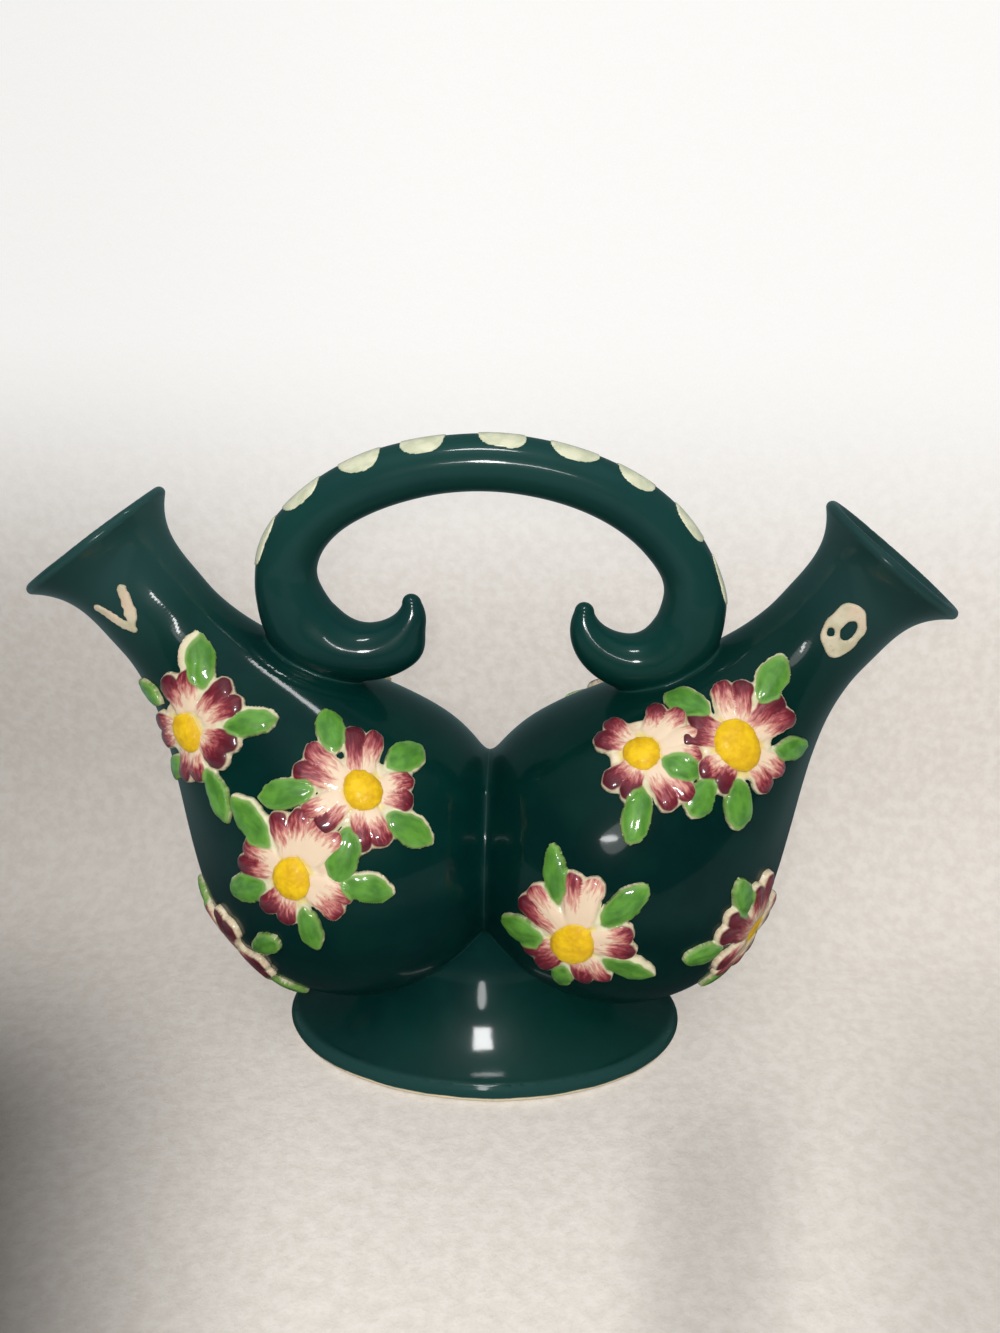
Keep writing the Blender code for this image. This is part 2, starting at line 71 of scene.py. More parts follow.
# Foot
FOOT_HALF_WIDTH = 44.9
FOOT_HALF_DEPTH = 26.6
FOOT_TOP = 33.5
FOOT_WAIST = 19.8
FOOT_FLARE_POWER = 2.6
FOOT_RIM_HEIGHT = 4.6
FOOT_RIM_ROUND = 1.2
FOOT_RING = 6.0
FOOT_HOLLOW_TOP = 24.0
FOOT_WALL = 4.2

# Handle
HANDLE_SEAT_STATION = 30.2
HANDLE_SEAT_SINK = 1.7
HANDLE_RISE = 26.3
HANDLE_DROP = 3.3
CURL_HALF_WIDTH = 11.6
CURL_HALF_HEIGHT = 9.6
CURL_SWEEP = math.radians(186)
HANDLE_RADIUS = 5.3
HANDLE_HEEL_RADIUS = 6.4
HANDLE_TIP_RADIUS = 1.9
LEFT_CURL_LIFT = 0.9
HANDLE_SWAY = -1.4
LEFT_CURL_SWAY = 1.15
RIGHT_CURL_SWAY = 1.7
LEFT_CURL_BULGE = 2.2
CORNER_RADIUS = 5.0
CORNER_FILL = 4.5

# The handle's samples, the distance given away from it, and the points worked on at a time
SAMPLE_GAP = 0.25
FAR = 12.0
BATCH = 20000

# How far the glaze and slip fill the joints
PARTING_FILL = 5.3
FOOT_FILL = 1.3
HANDLE_FILL = 2.6

# Reliefs: how far a rim dips under the skin it lies on, and how deep its underside lies
RIM_DIP = 0.35
UNDERSIDE = 0.6


def smooth_step(t):
    t = np.clip(t, 0, 1)
    return t * t * (3 - 2 * t)


def smooth_min(a, b, reach):
    h = np.maximum(reach - np.abs(a - b), 0) / reach
    return np.minimum(a, b) - h**3 * reach / 6


def smooth_max(a, b, reach):
    return -smooth_min(-a, -b, reach)


def flask_profile(station):
    """Outside radius beyond the belly's ball, mm."""
    start = math.sqrt(BELLY_RADIUS**2 - SHOULDER**2)
    slope = -SHOULDER / start
    span = NECK - SHOULDER
    t = (station - SHOULDER) / span
    blend = 2 * t**3 - 3 * t**2 + 1
    taper = blend * start + (t**3 - 2 * t**2 + t) * span * slope + (1 - blend) * NECK_RADIUS
    u = np.maximum(station - NECK, 0) / (MOUTH - NECK)
    flare = NECK_RADIUS + (MOUTH_RADIUS - NECK_RADIUS) * u**FLARE_POWER
    return taper + (flare - taper) * smooth_step((station - NECK + 6) / 12)


STATIONS = np.linspace(SHOULDER, MOUTH + 1, 3601)
RADII = flask_profile(STATIONS)
SLOPES = np.gradient(RADII, STATIONS)
BENDS = np.gradient(SLOPES, STATIONS)

MOUTH_SLOPE = float(np.interp(MOUTH, STATIONS, SLOPES))
MOUTH_LEAN = math.hypot(1, MOUTH_SLOPE)
LIP_ALONG = MOUTH + LIP_WALL / 2 * MOUTH_SLOPE / MOUTH_LEAN
LIP_OUT = MOUTH_RADIUS - LIP_WALL / 2 / MOUTH_LEAN


def flask_axes(side):
    centre = np.array([side * BELLY_SPREAD, 0, BELLY_HEIGHT])
    axis = np.array([side * math.sin(LEAN), 0, math.cos(LEAN)])
    outward = np.array([side * math.cos(LEAN), 0, -math.sin(LEAN)])
    return centre, axis, outward


def flask(side, p):
    """Distances to a flask's outside and to its hollow."""
    centre, axis, _ = flask_axes(side)
    arm = p - centre
    along = arm @ axis
    reach = np.sqrt((arm**2).sum(1))
    out = np.sqrt(np.maximum(reach**2 - along**2, 0))
    ball = along * BELLY_RADIUS < SHOULDER * reach
    if side == RIGHT:
        along = along - RIGHT_MOUTH_TURN * arm[:, 1] * smooth_step((along - 58) / 22)
    t = np.clip(along, SHOULDER, MOUTH)
    for _ in range(3):
        radius = np.interp(t, STATIONS, RADII)
        slope = np.interp(t, STATIONS, SLOPES)
        bend = np.interp(t, STATIONS, BENDS)
        miss = along - t + (out - radius) * slope
        rate = np.minimum(-1 - slope**2 + (out - radius) * bend, -0.4)
        t = np.clip(t - miss / rate, SHOULDER, MOUTH)
    radius = np.interp(t, STATIONS, RADII)
    slope = np.interp(t, STATIONS, SLOPES)
    away = np.hypot(along - t, out - radius)
    away = np.where(out - radius < (along - t) * slope, -away, away)
    away = np.where(ball, reach - BELLY_RADIUS, away)
    wall = BELLY_WALL + (NECK_WALL - BELLY_WALL) * smooth_step((t - 16) / 40)
    wall = wall + (LIP_WALL - NECK_WALL) * smooth_step((t - 66) / 14)
    hollow = away + wall
    past_lip = ((along - LIP_ALONG) + (out - LIP_OUT) * MOUTH_SLOPE > 0) & (along > MOUTH - 12)
    lip = np.hypot(along - LIP_ALONG, out - LIP_OUT) - LIP_WALL / 2
    away = np.where(past_lip, lip, away)
    hollow = np.where(past_lip, -lip, hollow)
    hollow = smooth_max(hollow, PARTING_WALL - side * p[:, 0], 1.5)
    return away, hollow


def foot_flare(share):
    spread = FOOT_HALF_WIDTH - FOOT_RIM_ROUND - FOOT_WAIST
    return FOOT_WAIST + spread * np.clip(1 - share, 0, 1) ** FOOT_FLARE_POWER


def foot_section(out, z):
    """The foot's solid form and its hollow, in its own section, mm."""
    share = (z - FOOT_RIM_HEIGHT) / (FOOT_TOP - FOOT_RIM_HEIGHT)
    slope = (foot_flare(share + 0.01) - foot_flare(share - 0.01)) / 0.02 / (FOOT_TOP - FOOT_RIM_HEIGHT)
    flare = (out - foot_flare(share)) / np.hypot(1, slope)
    flare = np.maximum(np.maximum(flare, z - FOOT_TOP), FOOT_RIM_HEIGHT / 2 - z)
    half = FOOT_RIM_HEIGHT / 2
    rim = np.hypot(np.maximum(out - FOOT_HALF_WIDTH + half, 0), z - half) - half
    solid = smooth_min(flare, rim, 1.0)
    share = np.clip(z / FOOT_TOP, 0, 1)
    wall = FOOT_WALL + (FOOT_RING - FOOT_WALL) * (1 - share * FOOT_TOP / FOOT_HOLLOW_TOP)
    hollow = (out - foot_flare(share) + wall) / np.hypot(1, slope)
    return solid, smooth_max(hollow, z - FOOT_HOLLOW_TOP, 4)


def foot(p):
    squeeze = FOOT_HALF_WIDTH / FOOT_HALF_DEPTH
    x, y, z = p.T
    out = np.hypot(x, y * squeeze)
    steep = np.hypot(x, y * squeeze**2) / np.maximum(out, 1e-6)
    step = 0.02
    here = foot_section(out, z)
    beside = foot_section(out + step, z)
    above = foot_section(out, z + step)
    made = []
    for a, b, c in zip(here, beside, above):
        made.append(a / np.maximum(np.hypot((b - a) / step * steep, (c - a) / step), 0.3))
    return made


def skin_point(side, along, around):
    centre, axis, outward = flask_axes(side)
    radius = np.interp(along, STATIONS, RADII) if along > SHOULDER else math.sqrt(BELLY_RADIUS**2 - along**2)
    return centre + axis * along + (outward * math.cos(around) + np.array([0, math.sin(around), 0])) * radius


HANDLE_SEAT = skin_point(RIGHT, HANDLE_SEAT_STATION, math.pi)
CURL_X = float(HANDLE_SEAT[0])
CURL_Z = float(HANDLE_SEAT[2]) + HANDLE_HEEL_RADIUS - HANDLE_SEAT_SINK + CURL_HALF_HEIGHT
HALF_SPAN = CURL_X + CURL_HALF_WIDTH
SIDE_Z = CURL_Z + HANDLE_DROP


def handle_samples():
    """Evenly spaced points along the right half of the handle from the crown: x, z and radius."""
    share = np.linspace(0, 1, 2001)
    angle = share * math.pi / 2
    swell = (HANDLE_HEEL_RADIUS - HANDLE_RADIUS) / 2
    radius = HANDLE_RADIUS + swell * share**4
    arch = np.stack([HALF_SPAN * np.sin(angle), SIDE_Z + HANDLE_RISE * np.cos(angle), radius], 1)
    angle = -CURL_SWEEP * share
    radius = HANDLE_RADIUS + swell * np.minimum(1 + 4 * share, 2)
    radius = radius - (HANDLE_HEEL_RADIUS - HANDLE_TIP_RADIUS) * share**3
    x, z = CURL_X + CURL_HALF_WIDTH * np.cos(angle), CURL_Z + CURL_HALF_HEIGHT * np.sin(angle)
    curl = np.stack([x, z, radius], 1)
    path = np.concatenate([arch, curl])
    lengths = np.concatenate([[0], np.cumsum(np.hypot(*np.diff(path[:, :2], axis=0).T))])
    spots = np.arange(0, lengths[-1], SAMPLE_GAP)
    samples = np.stack([np.interp(spots, lengths, path[:, i]) for i in range(3)], 1)
    width = 9
    kernel = np.hanning(width + 2)[1:-1]
    kernel = kernel / kernel.sum()
    padded = np.pad(samples, ((width // 2, width // 2), (0, 0)), mode="reflect", reflect_type="odd")
    return np.stack([np.convolve(padded[:, i], kernel, "valid") for i in range(3)], 1)


HANDLE = handle_samples()
HANDLE_RUN = np.gradient(HANDLE, SAMPLE_GAP, axis=0)
HANDLE_BEND = np.gradient(HANDLE_RUN, SAMPLE_GAP, axis=0)


def curl_lift(z, on_left):
    """How much higher the left curl stands than the right one."""
    return LEFT_CURL_LIFT * (1 - smooth_step((z - 102) / 20)) * on_left


def handle_sway(p):
    """How far the handle stands to the right of its even form: its crown leans left, its curls right."""
    inner = smooth_step((HALF_SPAN - np.abs(p[:, 0])) / 18)
    low = 1 - smooth_step((p[:, 2] - CURL_Z - 3) / 10)
    lowest = smooth_step((CURL_Z - 3 - p[:, 2]) / 8)
    left = LEFT_CURL_SWAY * low + LEFT_CURL_BULGE * lowest
    curl = np.where(p[:, 0] < 0, left, RIGHT_CURL_SWAY * low)
    return HANDLE_SWAY * smooth_step((p[:, 2] - CURL_Z + 1) / 19) + curl * inner


def corner_fill(flat, depth, on_left):
    """Distance to the clay that rounds the inside corner between the handle's leg and its curl."""
    more = np.where(on_left, 1.5, 0.0)
    start = np.stack([0 * more + HALF_SPAN - 0.3, SIDE_Z - more], 1)
    run = np.stack([HALF_SPAN - 6.5 - more, 0 * more + CURL_Z - CURL_HALF_HEIGHT + 1.2], 1) - start
    arm = flat - start
    share = np.clip((arm * run).sum(1) / (run**2).sum(1), 0, 1)
    return np.sqrt(((arm - run * share[:, None]) ** 2).sum(1) + depth**2) - CORNER_RADIUS


def handle(p):
    """Distance to the handle's skin, near it only."""
    away = np.full(len(p), FAR)
    near = (np.abs(p[:, 0]) < 56) & (p[:, 2] > 78) & (np.abs(p[:, 1]) < 22)
    q = p[near]
    on_left = q[:, 0] < 0
    flat = np.stack([np.abs(q[:, 0] - handle_sway(q)), q[:, 2] - curl_lift(q[:, 2], on_left)], 1)
    path = HANDLE[:, :2]
    found = np.empty(len(q))
    for start in range(0, len(q), BATCH):
        part = flat[start : start + BATCH]
        score = (path**2).sum(1) - 2 * part @ path.T
        i = score.argmin(1)
        arm = part - path[i]
        run = HANDLE_RUN[i, :2]
        bend = HANDLE_BEND[i, :2]
        step = (arm * run).sum(1) / np.maximum(1 - (arm * bend).sum(1), 0.3)
        step = np.where(i == len(path) - 1, np.minimum(step, 0), step)
        step = np.clip(step, -0.3, 0.3)
        foot_point = path[i] + run * step[:, None] + bend * (step**2 / 2)[:, None]
        spread = ((part - foot_point) ** 2).sum(1)
        radius = HANDLE[i, 2] + HANDLE_RUN[i, 2] * step
        found[start : start + BATCH] = np.sqrt(spread + q[start : start + BATCH, 1] ** 2) - radius
    away[near] = smooth_min(found, corner_fill(flat, q[:, 1], on_left), CORNER_FILL)
    return away


def wobble(p):
    """The slight unevenness of hand-finished, glazed ware, mm."""
    x, y, z = p.T
    wide = np.sin(0.19 * x + 1.3) * np.cos(0.16 * z - 0.4) * np.cos(0.13 * y + 0.5)
    cross = np.sin(0.23 * x - 0.31 * y + 0.12 * z + 0.7)
    fine = np.sin(0.41 * z + 0.22 * x) * np.sin(0.37 * y - 0.29 * x + 2.0)
    return 0.06 * wide + 0.035 * cross + 0.015 * fine


def joined(p, left, right, base, grip):
    """The four parts' outsides run together, with their filled joints and the tooling below the handle."""
    skin = smooth_min(left, right, PARTING_FILL)
    tooled = smooth_step((grip - 0.3) / 0.8) * smooth_step((5.6 - grip) / 1.5)
    tooled = tooled * smooth_step((1.5 - skin) / 1.5)
    tooled = tooled * smooth_step((-3 - p[:, 1]) / 4) * np.where(p[:, 0] < 0, 1.0, 0.45)
    skin = smooth_min(skin, base, FOOT_FILL)
    skin = smooth_min(skin, grip, HANDLE_FILL)
    return skin + wobble(p) + 0.035 * tooled * np.sin(2 * math.pi * grip / 1.9)


def outside(p):
    return (joined(p, flask(LEFT, p)[0], flask(RIGHT, p)[0], foot(p)[0], handle(p)),)


def body(p):
    """The whole glazed body's distance, and the four parts' own distances."""
    left, left_hollow = flask(LEFT, p)
    right, right_hollow = flask(RIGHT, p)
    base, base_hollow = foot(p)
    grip = handle(p)
    flasks = np.minimum(left, right)
    whole = joined(p, left, right, base, grip)
    whole = np.maximum(whole, np.maximum(-left_hollow, -right_hollow))
    under = smooth_max(base_hollow, -flasks, 1.0)
    whole = smooth_max(whole, -under, 0.8)
    base = np.maximum(base, -flasks)
    grip = np.maximum(grip, -flasks)
    return whole, {"vinegar_bottle": left, "oil_bottle": right, "foot": base, "handle": grip}


def in_chunks(work, p, size=400000):
    made = [work(p[i : i + size]) for i in range(0, len(p), size)]
    return [np.concatenate(parts) for parts in zip(*made)]


def piece_field(name):
    """A field of (whole, wall): the body's distance and how far outside this part's own share a point is."""

    def field(p):
        whole, parts = body(p)
        others = [value for other, value in parts.items() if other != name]
        return whole, parts[name] - np.minimum.reduce(others)

    return field


def slopes(field, p, step=0.02):
    """Gradients of each value of a field."""
    made = None
    for i in range(3):
        move = np.zeros(3)
        move[i] = step
        ahead = in_chunks(field, p + move)
        behind = in_chunks(field, p - move)
        if made is None:
            made = [np.zeros((len(p), 3)) for _ in ahead]
        for gradient, a, b in zip(made, ahead, behind):
            gradient[:, i] = (a - b) / (2 * step)
    return made


def stops(*spans):
    """Grid lines from spans of (start, stop, step)."""
    lines = []
    for start, stop, step in spans:
        count = max(1, round((stop - start) / (step * COARSE)))
        lines.append(np.linspace(start, stop, count, endpoint=False))
    lines.append(np.array([spans[-1][1]]))
    return np.concatenate(lines)


def contour(field, lines):
    """Meshes the solid where both of the field's values are below zero. Returns points, quads, which quads
    are on the body's skin, the skin's normals, and how far each point is from the next part."""
    shape = tuple(len(line) for line in lines)
    grid = np.stack(np.meshgrid(*lines, indexing="ij"), -1).reshape(-1, 3)
    whole, wall = in_chunks(field, grid)
    inside = (np.maximum(whole, wall) < 0).reshape(shape)
    whole = whole.reshape(shape)
    wall = wall.reshape(shape)
    cells = (shape[0] - 1, shape[1] - 1, shape[2] - 1)

    touched, corners, skin = [], [], []
    for axis in range(3):
        index = np.argwhere(np.diff(inside, axis=axis))
        after = index + np.eye(3, dtype=int)[axis]
        at, to = tuple(index.T), tuple(after.T)
        value = np.maximum(whole[at], wall[at])
        share = value / (value - np.maximum(whole[to], wall[to]))
        point = np.stack([lines[i][index[:, i]] for i in range(3)], 1)
        point[:, axis] += share * (lines[axis][after[:, axis]] - lines[axis][index[:, axis]])
        skin.append(whole[at] + share * (whole[to] - whole[at]) > wall[at] + share * (wall[to] - wall[at]))
        ring = []
        for a, b in ((1, 1), (0, 1), (0, 0), (1, 0)):
            cell = index.copy()
            cell[:, (axis + 1) % 3] -= a
            cell[:, (axis + 2) % 3] -= b
            ring.append(np.ravel_multi_index(cell.T, cells))
        ring = np.stack(ring, 1)
        ring[~inside[at]] = ring[~inside[at]][:, ::-1]
        corners.append(ring)
        touched.append(np.repeat(point, 4, axis=0))
    quads, skin, touched = np.concatenate(corners), np.concatenate(skin), np.concatenate(touched)
    ids, flat = np.unique(quads.reshape(-1), return_inverse=True)
    quads = flat.reshape(-1, 4)
    count = np.bincount(flat, minlength=len(ids))
    points = np.stack([np.bincount(flat, touched[:, i], len(ids)) / count for i in range(3)], 1)

    on_skin = np.zeros(len(ids), bool)
    on_wall = np.zeros(len(ids), bool)
    on_skin[quads[skin].reshape(-1)] = True
    on_wall[quads[~skin].reshape(-1)] = True
    spot = np.stack(np.unravel_index(ids, cells), 1)
    room = np.min([np.diff(lines[i])[spot[:, i]] for i in range(3)], axis=0) * 0.6
    for _ in range(3):
        value, wall_value = in_chunks(field, points[on_skin])
        lean, wall_lean = slopes(field, points[on_skin])
        size = np.maximum((lean**2).sum(1), 0.05)
        step = -lean * (value / size)[:, None]
        edge = on_wall[on_skin]
        across = wall_lean - lean * ((wall_lean * lean).sum(1) / size)[:, None]
        across_size = (across**2).sum(1)
        left_over = wall_value + (wall_lean * step).sum(1)
        slide = -across * (left_over / np.maximum(across_size, 0.05))[:, None]
        step = step + slide * (edge & (across_size > 0.05))[:, None]
        length = np.sqrt((step**2).sum(1))
        points[on_skin] += step * np.minimum(1, room[on_skin] / np.maximum(length, 1e-9))[:, None]
    normals = np.zeros_like(points)
    lean = slopes(field, points[on_skin])[0]
    normals[on_skin] = lean / np.maximum(np.sqrt((lean**2).sum(1)), 1e-9)[:, None]
    seam = np.full(len(points), 9.0)
    seam[on_skin] = np.abs(in_chunks(field, points[on_skin])[1])
    return points, quads, skin, normals, seam


def new_object(name, points, faces, material):
    mesh = bpy.data.meshes.new(name)
    mesh.from_pydata((points * MM).tolist(), [], faces)
    mesh.polygons.foreach_set("use_smooth", [True] * len(mesh.polygons))
    mesh.materials.append(material)
    piece = bpy.data.objects.new(name, mesh)
    bpy.context.scene.collection.objects.link(piece)
    return piece


def attribute(piece, name, values):
    """Numbers or vectors at a piece's points, which its material reads."""
    kind, field = ("FLOAT_VECTOR", "vector") if values.ndim == 2 else ("FLOAT", "value")
    layer = piece.data.attributes.new(name, kind, "POINT")
    layer.data.foreach_set(field, values.astype(float).reshape(-1))


GRIDS = {
    "oil_bottle": (
        ((-1.5, 4, 0.5), (4, 14, 0.9), (14, 44, 0.65), (44, 58, 0.9), (58, 91.5, 0.48)),
        ((-35, -18, 0.9), (-18, 18, 0.6), (18, 35, 0.9)),
        ((14, 80, 0.9), (80, 126, 0.48)),
    ),
    "foot": (
        ((-46.2, 46.2, 0.62),),
        ((-28, 28, 0.62),),
        ((-0.9, 6, 0.4), (6, 37, 0.65)),
    ),
    "handle": (
        ((-47, 47, 0.5),),
        ((-9, 9, 0.5),),
        ((82, 137.5, 0.5),),
    ),
}


def body_piece(name, material):
    spans = GRIDS["oil_bottle" if name == "vinegar_bottle" else name]
    lines = [stops(*line) for line in spans]
    if name == "vinegar_bottle":
        lines[0] = -lines[0][::-1]
    points, quads, skin, normals, seam = contour(piece_field(name), lines)
    piece = new_object("glazed_" + name, points, quads.tolist(), material)
    attribute(piece, "seam", np.minimum(seam, 9))
    side = LEFT if name == "vinegar_bottle" else RIGHT
    centre, axis, _ = flask_axes(side)
    attribute(piece, "station", np.maximum((points - centre) @ axis, 0) * name.endswith("bottle"))
    mesh = piece.data
    flat = np.empty(len(mesh.polygons) * 3)
    mesh.polygons.foreach_get("normal", flat)
    loops = normals[quads]
    loops[~skin] = flat.reshape(-1, 3)[~skin][:, None, :]
    mesh.normals_split_custom_set(loops.reshape(-1, 3).tolist())
    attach(piece, "root")
    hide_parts(name)
    return piece


class Nodes:
    """Short calls for building the node tree of a material or a world."""

    def __init__(self, owner):
        owner.use_nodes = True
        self.owner = owner
        self.tree = owner.node_tree
        self.shader = self.tree.nodes.get("Principled BSDF")

    def add(self, kind, *values, settings=(), **inputs):
        node = self.tree.nodes.new("ShaderNode" + kind)
        for key, value in settings:
            setattr(node, key, value)
        for key, value in (*enumerate(values), *inputs.items()):
            self.put(node, key, value)
        return node

    def put(self, node, key, value):
        socket = node.inputs[key if isinstance(key, int) else key.replace("_", " ")]
        if isinstance(value, bpy.types.NodeSocket):
            self.tree.links.new(value, socket)
        else:
            socket.default_value = value

    def named(self, name, output="Fac"):
        return self.add("Attribute", settings=[("attribute_name", name)]).outputs[output]

    def math(self, operation, *values):
        return self.add("Math", *values, settings=[("operation", operation)]).outputs[0]

    def times(self, value, *others):
        for other in others:
            value = self.math("MULTIPLY", value, other)
        return value

    def stir(self, value, other, amount, middle=0.5):
        """A value with the other one's departures from its middle added."""
        return self.math("ADD", value, self.times(self.math("SUBTRACT", other, middle), amount))

    def ramp(self, value, low, high, start=0.0, end=1.0):
        smooth = [("interpolation_type", "SMOOTHSTEP")]
        return self.add("MapRange", value, low, high, start, end, settings=smooth).outputs[0]

    def mix(self, share, one, two):
        node = self.add("Mix", share, settings=[("data_type", "RGBA")])
        for index, colour in ((6, one), (7, two)):
            self.put(node, index, (*colour, 1) if isinstance(colour, tuple) else colour)
        return node.outputs[2]

    def choose(self, share, one, two):
        return self.add("MixShader", share, one, two).outputs[0]

    def noise(self, scale, detail, where, roughness=0.5):
        node = self.add("TexNoise", Vector=where, Scale=scale, Detail=detail, Roughness=roughness)
        return node.outputs["Fac"]

    def place(self, output="Object"):
        return self.add("TexCoord").outputs[output]

    def split(self, where):
        return self.add("SeparateXYZ", where).outputs

    def bump(self, height, distance, strength=1.0):
        return self.add("Bump", Height=height, Distance=distance, Strength=strength).outputs["Normal"]

    def finish(self, skin, **inputs):
        for key, value in {"Normal": skin, "Coat Normal": skin, **inputs}.items():
            self.put(self.shader, key, value)
        return self.owner


def linear(red, green, blue):
    """A display colour of 0 to 255 as scene light."""
    made = []
    for value in (red, green, blue):
        value /= 255
        made.append(value / 12.92 if value <= 0.04045 else ((value + 0.055) / 1.055) ** 2.4)
    return tuple(made)


def glaze_material():
    n = Nodes(bpy.data.materials.new("green_glaze"))
    where = n.place()
    cloud = n.noise(28, 3, where)
    mottle = n.noise(160, 3, where)
    colour = n.mix(n.ramp(cloud, 0.35, 0.65), linear(0, 33, 32), linear(1, 39, 34))
    colour = n.mix(n.ramp(mottle, 0.3, 0.75, 0, 0.35), colour, linear(3, 47, 41))
    # Lighter glaze along the filled joints between the parts: a painted highlight where the creases would
    # catch light.
    line = n.ramp(n.named("seam"), 0.05, 0.4, 0.3, 0.0)
    colour = n.mix(line, colour, linear(46, 82, 76))
    height = n.split(where)["Z"]
    # Higher up, over the necks and the handle, the glaze is painted lighter: painted light from above.
    colour = n.mix(n.ramp(height, 0.08, 0.115, 0, 0.4), colour, linear(30, 64, 62))
    ring = n.named("station")
    # Towards each mouth the neck is painted lighter still: painted light.
    colour = n.mix(n.ramp(ring, 54, 78, 0, 0.4), colour, linear(48, 78, 78))
    ragged = n.stir(height, mottle, 0.0008)
    # A lighter band low on the foot's rounded rim: a painted reflection.
    colour = n.mix(n.ramp(height, 0.0044, 0.0052, 0.6, 0), colour, linear(34, 66, 64))
    colour = n.mix(n.ramp(ragged, 0.0013, 0.0018, 1, 0), colour, linear(214, 200, 170))
    sway = n.times(n.noise(60, 2, where), 3.0)
    throwing = n.math("SINE", n.math("ADD", n.times(ring, 9.0), sway))
    throwing = n.times(throwing, n.ramp(ring, 34, 54, 0.0, 0.07))
    skin = n.bump(n.math("ADD", throwing, n.noise(300, 2, where)), 0.000012)
    return n.finish(
        skin, Base_Color=colour, Roughness=0.35, IOR=1.15, Coat_Weight=0.55, Coat_Roughness=0.08, Coat_IOR=1.4
    )


def unit(vectors):
    return vectors / np.maximum(np.sqrt((vectors**2).sum(-1, keepdims=True)), 1e-9)


def settle(p):
    """Points moved onto the body's skin, and the normals there."""
    for _ in range(2):
        value = in_chunks(outside, p)[0]
        lean = slopes(outside, p)[0]
        p = p - lean * (value / np.maximum((lean**2).sum(1), 0.05))[:, None]
    return p, unit(lean)


def flask_layer(side, station, around):
    """A way to lay flat (u, v) places on a flask's skin: u to the right and v towards its mouth."""

    def skin(p):
        return (flask(side, p)[0],)

    start = skin_point(side, station, math.radians(around))[None]
    normal = unit(slopes(skin, start)[0])[0]
    axis = flask_axes(side)[1]
    up = unit(axis - normal * (axis @ normal))
    right = np.cross(up, normal)

    def lay(u, v):
        reach = np.hypot(u, v)
        heading = (np.outer(u, right) + np.outer(v, up)) / np.maximum(reach, 1e-9)[:, None]
        p = np.repeat(start, len(u), axis=0)
        steps = 8
        for _ in range(steps):
            p = p + heading * (reach / steps)[:, None]
            lean = unit(slopes(skin, p)[0])
            p = p - lean * skin(p)[0][:, None]
            heading = unit(heading - lean * (heading * lean).sum(1)[:, None])
        return settle(p)

    return lay


def handle_layer(distance):
    """The same for a place on the handle's crown: u runs along it to the right and v over it to the back."""

    def lay(u, v):
        run = (u + distance) / SAMPLE_GAP
        spot = np.abs(run)
        index = np.arange(len(HANDLE))
        x, z, radius = (np.interp(spot, index, HANDLE[:, i]) for i in range(3))
        dx, dz = (np.interp(spot, index, HANDLE_RUN[:, i]) for i in range(2))
        sign = np.where(run < 0, -1.0, 1.0)
        out = unit(np.stack([-dz * sign, 0 * dx, dx], 1))
        turn = v / radius
        spoke = out * np.cos(turn)[:, None] + np.array([[0, 1.0, 0]]) * np.sin(turn)[:, None]
        middle = np.stack([x * sign, 0 * x, z + curl_lift(z, sign < 0)], 1)
        return settle(middle + spoke * radius[:, None])

    return lay


